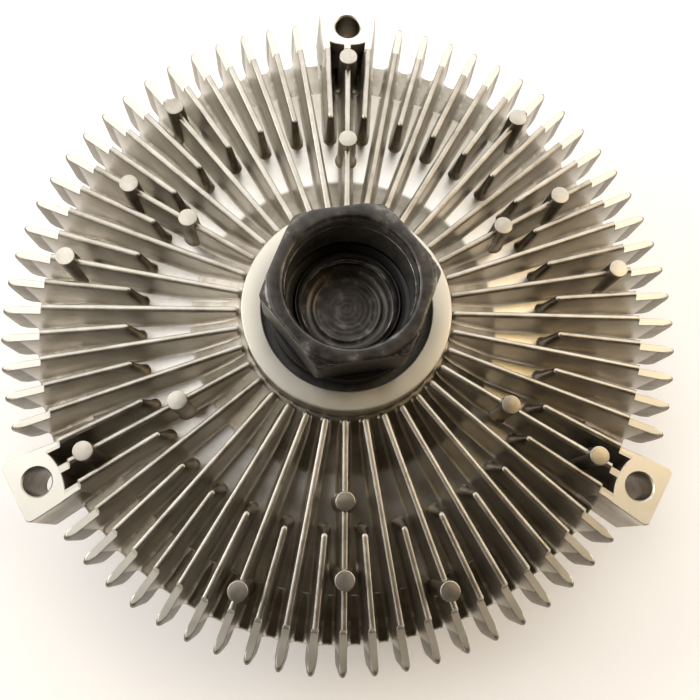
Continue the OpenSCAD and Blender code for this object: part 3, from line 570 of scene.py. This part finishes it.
def lug_outline(depth, inset):
    """The lug's plan at a depth below its face, drawn in by an inset; its sides spread with the draft."""
    spread = depth * lug_draft - inset

    def side_y(x):
        return (x * math.sin(lug_half_angle) + spread) / math.cos(lug_half_angle)

    def fin_y(x):
        half = half_at(x, -depth)
        return beside_off + x * math.tan(beside_turn) + half / math.cos(beside_turn) - inset - 0.03

    bulge_r, out = lug_round_r - inset, lug_out_r - inset
    web_y = beside_off + lug_web_r * math.tan(beside_turn)
    arc = [(lug_centre_r - bulge_r * math.cos(a), bulge_r * math.sin(a))
           for a in np.linspace(0, math.asin(web_y / bulge_r), 8)]
    web = [(lug_web_r, web_y), (lug_web_r, fin_y(lug_web_r))]
    bend = out - lug_corner_r
    flank = [(x, side_y(x)) for x in np.linspace(lug_flank_r, bend, 6)]
    drift = (side_y(out) - side_y(bend)) * 0.4
    corner = [(bend + lug_corner_r * math.sin(a),
               side_y(bend) + drift * math.sin(a) - lug_corner_in * (1 - math.cos(a)))
              for a in np.linspace(0.3, math.pi / 2, 5)]
    end = [(out, y) for y in np.linspace(corner[-1][1], 0, 4)[1:]]
    upper = arc + web + flank + corner + end
    return upper + [(x, -y) for x, y in reversed(upper[1:-1])]


def lug_crest(x, y, z):
    """A lug's face is light and its sides are dull; the wall of its hole is painted dark, as shade inside the
    hole.
    """
    in_hole = np.hypot(x - bolt_circle_r, y) < bolt_r + 0.2
    # Painted shade on the wall of the bolt hole.
    return np.where(z > -0.3, 0.8, -0.2 - 0.3 * in_hole)


def lug_mesh():
    """One lug along X, its edges eased and its hole drilled and countersunk."""
    levels = ((0.0, 0.16), (0.16, 0.0), (4.0, 0.0), (9.0, 0.0), (14.3, 0.0), (14.8, 0.2), (15.0, 0.6))
    rings = [[(x, y, -depth) for x, y in lug_outline(depth, inset)] for depth, inset in levels]
    lug = piece("lug", *loft(rings, caps=(True, True)), 30)
    sink_r = bolt_r + bolt_ease
    drill = [(0.001, -17.0), (bolt_r, -17.0), (bolt_r, -bolt_ease), (sink_r, 0.0), (sink_r, 1.0),
             (0.001, 1.0)]
    cut(lug, *turned(drill, 48, bolt_circle_r), 30)
    paint(lug, lug_crest, lambda c, n: n.z > 0.6 and c.z > -0.5)
    return lug


lugs = ring_of("fan_lugs", lug_mesh(), sectors, at_lug, 8)
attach(lugs, "housing")


# Ejector bosses.
# Round pads on the fins that the die's pins push on to free the casting. They stand a little higher than
# the fins, and their flat tops keep the smooth print of the pins.
boss_r, boss_top = 2.15, 5.8
boss_in_r, boss_mid_r, boss_out_r = 42.0, 58.0, 63.9


def boss_mesh(radius):
    """A boss at some radius along X, flared at its foot."""
    low = float(floor_z(radius))
    outline = rounded([(0.0001, low - 0.6, 0), (boss_r + 0.9, low - 0.6, 0), (boss_r + 0.35, low + 0.5, 0.6),
                       (boss_r + 0.12, low + 1.2, 0), (boss_r, boss_top - 0.5, 0), (boss_r, boss_top, 0.22),
                       (0.0001, boss_top, 0)])
    boss = piece("boss", *turned(outline, 28, radius), 40)
    paint(boss, lambda x, y, z: np.where(z > boss_top - 0.3, -0.4, 0.1), lambda c, n: False)
    store(boss, "polish", 0.7 * (places(boss)[2] > boss_top - 0.3))
    return boss


boss_places = (
    ("bosses_at_lugs_outer", boss_out_r, at_lug), ("bosses_at_lugs_inner", boss_in_r, at_lug),
    ("bosses_between_mid", boss_mid_r, at_lug + 60), ("bosses_between_inner", boss_in_r, at_lug + 60),
    ("bosses_left", boss_out_r, at_lug + 40), ("bosses_right", boss_out_r, at_lug + 80))
for seed, (name, radius, first) in enumerate(boss_places, 20):
    bosses = ring_of(name, boss_mesh(radius), sectors, first, seed)
    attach(bosses, "housing")


# Drive hub.
# The steel hub is forged, turned and phosphated dark. A spanner takes its hexagon, and the pump shaft
# screws into the thread under the plain counterbore; its neck carries the bearing and the rotor.
hub_turn = 9.3
hub_top, hex_low, base_low = 25.9, 12.4, 8.4
hex_half, hex_r, base_r = 16.0, 18.25, 17.3
bore_r, neck_r = 13.25, 11.98
thread_major, thread_minor, thread_pitch, thread_top = 11.0, 10.188, 1.5, 11.3


def hexagon(radius, theta, soft=0.05):
    """A round of some radius cut down to the hexagon, with the edges between the two softened."""
    flats = hex_half / np.cos(np.radians((theta - hub_turn) % 60 - 30))
    lift = hex_half / soft
    return soft * (lift - np.log(np.exp(lift - flats / soft) + np.exp(lift - radius / soft)))


def thread(z, theta):
    """Radius of the threaded wall; its ridges fade out at the top."""
    phase = (z / thread_pitch + theta / 360) % 1
    ridge = np.clip((1 - np.abs(2 * phase - 1) - 0.12) / 0.76, 0, 1)
    fade = np.clip((thread_top - z) / 0.8, 0, 1)
    return thread_major - (thread_major - thread_minor) * ridge * fade


def hub_rows(theta):
    """Radius and height of the hub's rings, from its socket's floor over the mouth to the shaft's end."""
    socket = [(3.0, 6.1), (6.9, 6.1), (7.3, 6.15), (7.9, 6.45), (8.5, 6.8), (9.0, 6.9), (9.9, 6.9)]
    socket += [(thread(z, theta), z) for z in np.linspace(6.95, thread_top, 44)]
    relief = [(thread_major + 0.1, 11.42), (thread_major + 0.3, 11.5), (11.55, 11.3), (11.65, 10.7),
              (11.9, 10.5), (13.4, 10.5), (13.75, 10.7), (13.85, 11.2), (13.85, 12.6), (13.7, 12.85)]
    bore = [(bore_r, 13.25), (bore_r, 17.0), (bore_r, 21.5), (bore_r + 0.02, 21.65), (bore_r + 0.1, 21.75),
            (bore_r + 0.1, 25.2), (13.42, 25.42), (13.7, 25.75), (13.9, 25.87), (14.1, hub_top),
            (14.8, hub_top)]
    top, flats = hexagon(16.65, theta), hexagon(hex_r, theta)
    chamfer = [(top - 0.6, hub_top), (top - 0.25, 25.88), (top - 0.05, 25.8)]
    chamfer += [(hexagon(r, theta), z) for r, z in ((16.95, 25.58), (17.6, 24.95), (18.05, 24.5))]
    sides = [(flats, z) for z in (24.2, 22.0, 18.0, 15.0, 12.9)]
    sides += [(flats - 0.1, 12.55), (np.minimum(flats, 17.7), hex_low), (17.1, hex_low - 0.02)]
    base = [(17.24, 12.3), (base_r, 12.1), (base_r, 8.6), (17.2, 8.45), (17.0, base_low)]
    shaft = [(neck_r, base_low), (neck_r, 5.0), (8.5, 5.0), (8.5, -7.0), (8.0, -7.0), (8.0, -16.0),
             (7.3, -16.0), (7.3, -17.2), (8.0, -17.2), (7.6, -18.2)]
    return socket + relief + bore + chamfer + sides + base + shaft


def rings_from(rows, angles, x=0.0):
    """Rings of points about an upright axis; a row is a height with one radius, or one for each angle."""
    rings = []
    for radius, z in rows:
        radius = np.broadcast_to(radius, angles.shape)
        rings.append(list(zip(x + radius * np.cos(angles), radius * np.sin(angles), np.full(len(angles), z))))
    return rings


def close_to(point, verts, faces, start, n):
    """Closes the ring of n vertices from start with a fan to a point."""
    verts.append(point)
    faces += [(start + i, start + (i + 1) % n, len(verts) - 1) for i in range(n)]


def hub_mesh(columns=288):
    """The hub, closed in the middle of its socket's floor and of its shaft's end."""
    theta = np.linspace(0, 360, columns, endpoint=False)
    rows = hub_rows(theta)
    verts, faces = loft(rings_from(rows, np.radians(theta)))
    close_to((0, 0, rows[0][1]), verts, faces, 0, columns)
    close_to((0, 0, rows[-1][1]), verts, faces, (len(rows) - 1) * columns, columns)
    return piece("drive_hub_steel", verts, faces, 32)


def paint_hub_tone_and_light(hub):
    """Stores where the hub is lighter along its edges, where highlights and shade are painted on it, and
    where it is bored or reamed.
    """
    x, y, z = places(hub)
    r = np.hypot(x, y)
    outside = r > hex_half - 0.1
    threaded = (r < thread_major + 0.2) * (z < 11.45) * (z > 6.92)
    bored = (z > 6.0) * (z < 6.95) * (r < 10.0)
    reamed = (z > 13.0) * (z < 25.3) * (r < 13.5)
    # The top's chamfer and the counterbore's rim are lighter.
    hub_tone_and_painted_light = 0.5 * np.exp(-np.abs(z - 25.6) / 0.3) * (r > 15.5)
    hub_tone_and_painted_light += 0.4 * np.exp(-np.abs(r - 13.6) / 0.25) * (z > 25.0)
    # Painted highlight on the thread's crests and painted shade in its roots; the reamed counterbore is
    # lighter.
    hub_tone_and_painted_light += (1.5 * np.exp(-np.abs(r - thread_minor) / 0.2) - 0.5) * threaded + 0.7 * reamed
    # The hexagon's sides are darker, and the base under it darker still: partly its black phosphate, partly
    # painted shade under the hexagon.
    hub_tone_and_painted_light -= 0.4 * outside * (z < 24.0) + 0.6 * outside * (z < hex_low + 0.05)
    # Painted shade in the relief groove between the counterbore and the thread.
    hub_tone_and_painted_light -= 0.6 * (r > 11.4) * (r < 13.9) * (z < 13.0) * (z > 10.0)
    for key, values in (("hub_tone_and_painted_light", np.clip(hub_tone_and_painted_light, -1, 1)), ("bored", bored), ("reamed", reamed)):
        store(hub, key, values)


def phosphated_steel():
    """Dark oiled steel, lighter along its edges and where highlights are painted, darker where shade is
    painted, with the tool's rings in the socket and the counterbore.
    """
    material, tree, shader = new_finish("phosphated_steel", 0.7, Coat_Weight=0.25, Coat_Roughness=0.16)
    group = add(tree, "ShaderNodeGroup", {"Blotch": 0.003, "Grain": 0.0004}, node_tree=skin).outputs
    rings = add(tree, "ShaderNodeGroup", {"Pitch": 0.00115, "Waver": 0.6}, node_tree=marks).outputs["Rings"]
    hub_tone_and_painted_light, bored, reamed = (stored(tree, name) for name in ("hub_tone_and_painted_light", "bored", "reamed"))
    place = add(tree, "ShaderNodeTexCoord").outputs["Object"]
    depth = add(tree, "ShaderNodeSeparateXYZ", {"Vector": place}).outputs["Z"]
    turns = maths(tree, "MULTIPLY_ADD", group["Blotches"], 4.0, maths(tree, "MULTIPLY", depth, 9000.0))
    grooves = maths(tree, "MULTIPLY", maths(tree, "SINE", turns), reamed)
    shade = maths(tree, "MULTIPLY_ADD", group["Blotches"], 1.1, -0.3)
    shade = maths(tree, "MULTIPLY_ADD", bored, 0.1, shade)
    shade = maths(tree, "MULTIPLY_ADD", hub_tone_and_painted_light, 0.6, shade, clamp=True)
    greys = ((0.0, (0.012, 0.011, 0.010)), (0.4, (0.060, 0.052, 0.043)), (1.0, (0.42, 0.39, 0.35)))
    tree.links.new(ramp(tree, shade, greys), shader.inputs["Base Color"])
    rough = maths(tree, "MULTIPLY_ADD", group["Blotches"], 0.3, 0.2)
    rough = maths(tree, "MULTIPLY_ADD", hub_tone_and_painted_light, -0.2, rough, clamp=True)
    tree.links.new(rough, shader.inputs["Roughness"])
    height = maths(tree, "MULTIPLY", rings, maths(tree, "MULTIPLY", bored, 0.5))
    height = maths(tree, "MULTIPLY_ADD", grooves, 0.9, height)
    height = maths(tree, "MULTIPLY_ADD", group["Grains"], 0.35, height)
    bump(tree, shader, height, 0.00006, 0.8)
    return material


hub = hub_mesh()
paint_hub_tone_and_light(hub)
hub.data.materials.append(phosphated_steel())
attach(hub, "drive")
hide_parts("drive_hub")


# Bearing, rotor and valve.
# What the casting encloses: a sealed ball bearing held by a spring ring, the grooved rotor that shears the
# fluid, and the separator plate with its valve. The solids have their shapes, and each gets its finish.
def plain_finish(name, metallic, dark, light, rough, grain, depth, pitch=0.0):
    """A finish for a turned, rolled or moulded piece: blotched colour, a grain, and rings if it is turned."""
    material, tree, shader = new_finish(name, metallic)
    group = add(tree, "ShaderNodeGroup", {"Blotch": 0.004, "Grain": grain}, node_tree=skin).outputs
    tree.links.new(ramp(tree, group["Blotches"], ((0.3, dark), (0.7, light))), shader.inputs["Base Color"])
    roughness = maths(tree, "MULTIPLY_ADD", group["Blotches"], 0.16, rough - 0.08)
    tree.links.new(roughness, shader.inputs["Roughness"])
    height = group["Grains"]
    if pitch:
        rings = add(tree, "ShaderNodeGroup", {"Pitch": pitch, "Waver": 0.2}, node_tree=marks).outputs["Rings"]
        height = maths(tree, "MULTIPLY_ADD", height, 0.3, rings)
    bump(tree, shader, height, depth, 0.4)
    return material


# The outer ring shows in the gap under the hub; its dark colour is partly oil and partly painted shade in
# that gap.
oiled_and_shaded = plain_finish("oiled_and_shaded_ring_steel", 1.0, (0.07, 0.065, 0.06), (0.13, 0.12, 0.11), 0.5, 0.0004, 0.00002)
ground = plain_finish("ground_steel", 1.0, (0.50, 0.50, 0.50), (0.62, 0.62, 0.61), 0.2, 0.0004, 0.00001,
                      0.0003)
blued = plain_finish("blued_spring_steel", 1.0, (0.10, 0.10, 0.12), (0.19, 0.19, 0.21), 0.35, 0.0004, 0.00002)
rolled = plain_finish("rolled_sheet_steel", 1.0, (0.42, 0.42, 0.42), (0.56, 0.56, 0.55), 0.34, 0.0007,
                      0.00002)
plated = plain_finish("zinc_plated_steel", 1.0, (0.48, 0.48, 0.49), (0.64, 0.63, 0.60), 0.3, 0.0005, 0.00003)
lathe_cut = plain_finish("turned_aluminium", 1.0, (0.58, 0.58, 0.58), (0.74, 0.73, 0.72), 0.28, 0.0005,
                         0.00002, 0.0005)
moulded = plain_finish("moulded_cage", 0.0, (0.30, 0.21, 0.11), (0.42, 0.31, 0.17), 0.5, 0.0006, 0.00003)
rubber = plain_finish("black_rubber", 0.0, (0.016, 0.016, 0.016), (0.035, 0.034, 0.033), 0.6, 0.0003, 0.00003)
enclosed = (
    (oiled_and_shaded, ("bearing_outer_ring",)),
    (ground, ("bearing_inner_ring", "bearing_balls", "switching_pin")),
    (moulded, ("bearing_cage",)),
    (rubber, ("bearing_rear_seal", "bearing_front_seal", "pin_seal", "cover_seal")),
    (blued, ("bearing_circlip", "rotor_circlip", "valve_lever")),
    (lathe_cut, ("rotor", "pump_wiper")),
    (rolled, ("separator_plate",)),
    (plated, ("separator_screws", "valve_rivet")))
for material, nodes in enclosed:
    for node in nodes:
        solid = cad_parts[node]
        solid.data.materials.clear()
        solid.data.materials.append(material)


# Front cover.
# The fan-side half, cast in the same aluminium: a flange that meets the rim, a shallow bowl, and a ring
# of cooling fins. Two pairs of posts in its middle hold the ends of the bimetal strip.
flange_low, face, front = -22.0, -30.5, -38.0
flange_r, skirt_r, bend_r, bend_z, dome_r = 73.3, 63.5, 61.5, -26.0, 52.0
spigot_r, spigot_low, inside_r, inside_low = 60.2, -20.6, 54.0, -27.0
pin_hole_r, nave_r, nave_top, nave_low = 2.05, 6.0, -25.0, -32.8
front_fin_in_r, front_fin_out_r, sweep_r, sweep_h = 31.0, 63.0, 57.0, 5.0
strip_top, strip_t, strip_l, strip_w = -33.7, 1.0, 48.0, 15.0
post_in, post_out, post_w, hook_h, hook_w = 18.5, 23.5, 4.0, 1.2, 2.2
stop_in, stop_out, rest_half = 24.15, 26.15, 6.5

cover_outline = rounded([
    (pin_hole_r, nave_top, 0.2), (nave_r, nave_top, 0.3), (nave_r, inside_low, 0.3), (50.0, inside_low, 1.0),
    (inside_r, -24.4, 0.5), (inside_r, spigot_low, 0), (spigot_r, spigot_low, 0), (spigot_r, split, 0),
    (flange_r, split, 0.3), (flange_r, flange_low, 0.6), (skirt_r, flange_low, 0.7), (bend_r, bend_z, 1.5),
    (dome_r, face, 2.0), (8.6, face, 0.6), (8.0, nave_low, 0.4), (pin_hole_r, nave_low, 0.25)])
cover = piece("front_cover_bowl", *turned(cover_outline, 216))
clear_nuts(cover, flange_low - 2.0, split + 2.0)


def cover_crest(x, y, z):
    """The bowl is lighter towards its middle, and the flange is even."""
    bowl = np.interp(np.hypot(x, y), (8.0, 30.0, 52.0, 63.0), (0.6, 0.5, 0.35, 0.25))
    return np.where(z > flange_low - 0.5, 0.45, bowl)


def cover_machined(c, n):
    """A tool has cut the face that meets the housing and the one around the pin."""
    return c.z > split - 0.1 or (math.hypot(c.x, c.y) < 8.1 and c.z < nave_low + 0.1)


show(cover, cover_crest, cover_machined)
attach(cover, "housing")
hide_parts("front_cover")


def front_fin_ring(r):
    """A front fin's outline at one place, down one side, around its edge and up the other."""
    root = float(np.interp(r, (dome_r, bend_r, skirt_r), (face, bend_z, flange_low))) + 0.7
    swept = max(0.0, r - sweep_r) / (front_fin_out_r - sweep_r)
    edge = front + sweep_h * (1 - math.sqrt(max(0.0, 1 - swept ** 2)))
    edge += 1.2 * (1 - min(1.0, (r - front_fin_in_r) / 1.6)) ** 2
    plump = min(1.0, 0.45 + (r - front_fin_in_r) / 1.2) * min(1.0, 0.55 + (front_fin_out_r - r) / 0.9)
    middle = (root + edge) / 2

    def half(z):
        return (0.75 + (z - front) * math.tan(math.radians(2.4))) * plump

    side = [(half(root) + 1.0, root), (half(root - 0.9) + 0.35, root - 0.9),
            (half(root - 1.5) + 0.06, root - 1.5), (half(middle), middle), (half(edge + 0.5), edge + 0.5),
            (half(edge) - 0.1, edge + 0.16), (half(edge) * 0.6, edge + 0.03), (half(edge) * 0.2, edge)]
    return [(r, y, z) for y, z in side + [(-y, z) for y, z in reversed(side)]]


def front_fin_mesh():
    """A front fin along X, hanging from the bowl, its edge rounded and its outer corner swept up."""
    spots = (front_fin_in_r, 31.2, 31.7, 32.6, 36.0, 42.0, 48.0, dome_r, 55.0, sweep_r, 58.8, 60.3, 61.6,
             62.4, 62.8, front_fin_out_r)
    fin = piece("front_fin", *loft([front_fin_ring(r) for r in spots], caps=(True, True)), 50)
    paint(fin, lambda x, y, z: 0.2 + 0.3 * (face - z) / 7.5 + 0.4 * (z < front + 0.2), lambda c, n: False)
    return fin


front_fins = ring_of("front_fins", front_fin_mesh(), 36, 5, 41)
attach(front_fins, "housing")


def block(x0, x1, y0, y1, z0, z1, ease=0.35):
    """A cast block with its corners rounded and its lower edges eased."""
    rings = []
    for z, inset in ((z1, 0.0), (z0 + ease, 0.0), (z0 + ease * 0.3, ease * 0.3), (z0, ease)):
        c = min(0.5, (x1 - x0) / 4) - inset * 0.3
        d = c * 0.3
        ax, bx, ay, by = x0 + inset, x1 - inset, y0 + inset, y1 - inset
        plan = [(ax + c, ay), (bx - c, ay), (bx - d, ay + d), (bx, ay + c), (bx, by - c), (bx - d, by - d),
                (bx - c, by), (ax + c, by), (ax + d, by - d), (ax, by - c), (ax, ay + c), (ax + d, ay + d)]
        rings.append([(x, y, z) for x, y in plan])
    return loft(rings, caps=(True, True))


def post_mesh():
    """The pair of posts at one end of the strip, with the rest under it and the stop behind it."""
    verts, faces = [], []
    root, hook = face + 0.8, strip_top - strip_t - 0.05
    y_in = strip_w / 2 + 0.15
    y_back = y_in + 0.6
    blocks = [(post_in, post_out, y_in, y_in + post_w, hook - hook_h, root),
              (post_in, post_out, y_back - hook_w, y_back, hook - hook_h, hook),
              (post_in, post_out, -rest_half, rest_half, strip_top, root),
              (stop_in, stop_out, -rest_half, rest_half, strip_top - strip_t, root)]
    blocks += [(x0, x1, -y1, -y0, z0, z1) for x0, x1, y0, y1, z0, z1 in blocks[:2]]
    for values in blocks:
        points, quads = block(*values, ease=0.05 if values[4] == strip_top else 0.3)
        faces += [tuple(i + len(verts) for i in quad) for quad in quads]
        verts += points
    post = piece("post", verts, faces, 40)
    paint(post, lambda x, y, z: 0.25 + 0.5 * (face - z) / 5.0, lambda c, n: False)
    return post


posts = ring_of("strip_posts", post_mesh(), 2, 0, 42)
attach(posts, "housing")


# Cover screws.
# Six socket-head screws, zinc plated, clamp the cover's flange to the rim from the fan side.
# Each head has a turned chamfer and a hexagon socket with a drill point.
screw_circle_r, shank_r, head_r, head_h, socket_half = 68.3, 2.5, 4.25, 3.5, 2.0


def screw_mesh(sides=36):
    """One screw, head down: its shank, its head and the socket in it."""
    angles = np.linspace(0, 2 * math.pi, sides, endpoint=False)
    socket = socket_half / np.cos(angles % (math.pi / 3) - math.pi / 6)
    low = flange_low - head_h
    rows = [(shank_r, split + 5.4), (shank_r, flange_low), (head_r, flange_low), (head_r, low + 0.45),
            (head_r - 0.12, low + 0.15), (head_r - 0.45, low), (2.75, low), (socket, low + 0.25),
            (socket, low + 1.9)]
    verts, faces = loft(rings_from(rows, angles, screw_circle_r), caps=(True, False))
    close_to((screw_circle_r, 0, low + 2.6), verts, faces, (len(rows) - 1) * sides, sides)
    return piece("screw", verts, faces, 35)


screws = ring_of("cover_screws_plated", screw_mesh(), 6, 0, 43, skin_finish=plated, cut_finish=plated)
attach(screws, "housing")
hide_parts("cover_screws")


# Bimetal strip.
# Two metals rolled together into one strip, held at its ends under the posts. As it warms it bows outwards,
# each half between the cover and the pin, and lets the switching pin out. Here it is made as two straight
# halves.
two_metal = plain_finish("two_metal_strip", 1.0, (0.36, 0.33, 0.26), (0.52, 0.47, 0.36), 0.36, 0.0006,
                         0.00002)
strip_corner, strip_ease = 1.0, 0.12


def strip_half(name, side):
    """Half of the strip, from over the pin to its rounded end, in short lengths."""
    low, high, end, ease = strip_top - strip_t, strip_top, strip_l / 2, strip_ease
    rings = []
    for x in np.concatenate(([0.0], np.linspace(1.0, end - 0.6, 23), [end - 0.25, end - 0.07, end])):
        into = max(0.0, x - end + strip_corner)
        half_y = strip_w / 2 - strip_corner + math.sqrt(max(0.0, strip_corner ** 2 - into ** 2))
        ring = [(-half_y, low + ease), (-half_y + ease, low), (half_y - ease, low), (half_y, low + ease),
                (half_y, high - ease), (half_y - ease, high), (-half_y + ease, high), (-half_y, high - ease)]
        rings.append([(side * x, y, z) for y, z in ring])
    return piece(name, *loft(rings, caps=(True, True)), 30)


for name, side in (("bimetal_half_left", -1), ("bimetal_half_right", 1)):
    half_strip = strip_half(name, side)
    half_strip.data.materials.append(two_metal)
    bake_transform(half_strip)
    if side < 0:
        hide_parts("bimetal_strip")


# Table, light and camera.
# The clutch lies on its front fins on a pale table, with the camera fitted to the photograph. A wide cool
# window behind it makes the floors between the fins shine on the far side, two small lights stand at the
# left, and warm ones open the other sides.
table_half, table_z = 4.0 / mm, front - 0.05


def table_top():
    """Pale, dull and slightly uneven, and a little bright of itself."""
    material, tree, shader = new_finish("pale_table", 0.0, Roughness=0.75,
                                        Emission_Color=(1.0, 0.92, 0.85, 1.0), Emission_Strength=0.16)
    group = add(tree, "ShaderNodeGroup", {"Blotch": 0.05, "Grain": 0.004}, node_tree=skin).outputs
    colour = ramp(tree, group["Blotches"], ((0.2, (0.95, 0.92, 0.875)), (0.8, (0.965, 0.94, 0.905))))
    tree.links.new(colour, shader.inputs["Base Color"])
    return material


corners = [(x * table_half, y * table_half, table_z) for x, y in ((-1, -1), (1, -1), (1, 1), (-1, 1))]
table = piece("table", corners, [(0, 1, 2, 3)])
table.data.materials.append(table_top())


def soft_light(name, place, size, power, colour):
    """A flat light that faces the clutch."""
    lamp = bpy.data.lights.new(name, "AREA")
    lamp.shape = "RECTANGLE"
    lamp.size, lamp.size_y = size
    lamp.energy = power
    lamp.color = colour
    obj = bpy.data.objects.new(name, lamp)
    bpy.context.scene.collection.objects.link(obj)
    obj.location = place
    obj.rotation_euler = (-Vector(place)).to_track_quat("-Z", "Y").to_euler()


soft_light("window", (0.18, 0.62, 0.55), (1.5, 0.9), 5.4, (0.97, 0.985, 1.0))
soft_light("side", (-0.66, 0.17, 0.34), (0.5, 0.3), 2.0, (0.98, 0.985, 1.0))
soft_light("left_lamp", (-0.29, 0.15, 0.70), (0.45, 0.3), 0.9, (0.98, 0.985, 1.0))
soft_light("right", (0.74, 0.04, 0.20), (0.5, 0.25), 1.2, (1.0, 0.88, 0.72))
soft_light("near", (-0.56, -0.36, 0.48), (0.3, 0.3), 0.5, (1.0, 0.95, 0.88))
soft_light("lamp", (0.42, 0.14, 0.70), (0.25, 0.25), 0.6, (1.0, 0.74, 0.38))
world = bpy.data.worlds.new("room")
world.use_nodes = True
room = world.node_tree
outwards = add(room, "ShaderNodeTexCoord").outputs["Generated"]
facing = add(room, "ShaderNodeVectorMath", {0: outwards, 1: (-0.35, 0.80, -0.45)}, operation="DOT_PRODUCT")
level = maths(room, "MULTIPLY_ADD", facing.outputs["Value"], 0.5, 0.5)
walls = ((0.15, (0.019, 0.014, 0.007)), (0.45, (0.054, 0.042, 0.026)), (0.72, (0.26, 0.245, 0.225)),
         (0.95, (1.0, 0.98, 0.95)))
room.links.new(ramp(room, level, walls), room.nodes["Background"].inputs["Color"])
scene = bpy.context.scene
scene.world = world
scene.view_settings.view_transform = "Standard"
scene.view_settings.look = "None"
scene.view_settings.exposure = 0.45
scene.view_settings.gamma = 1.0

lens = bpy.data.cameras.new("camera")
lens.sensor_fit = "HORIZONTAL"
lens.sensor_width = 36.0
lens.lens = 36.73
lens.clip_start = 0.005
camera = bpy.data.objects.new("camera", lens)
scene.collection.objects.link(camera)
camera.matrix_world = Matrix((
    (0.99872, -0.01661, -0.04823, -0.006819),
    (0.00560, 0.97549, -0.22005, -0.043984),
    (0.05070, 0.21949, 0.97430, 0.159327),
    (0, 0, 0, 1)))
scene.camera = camera
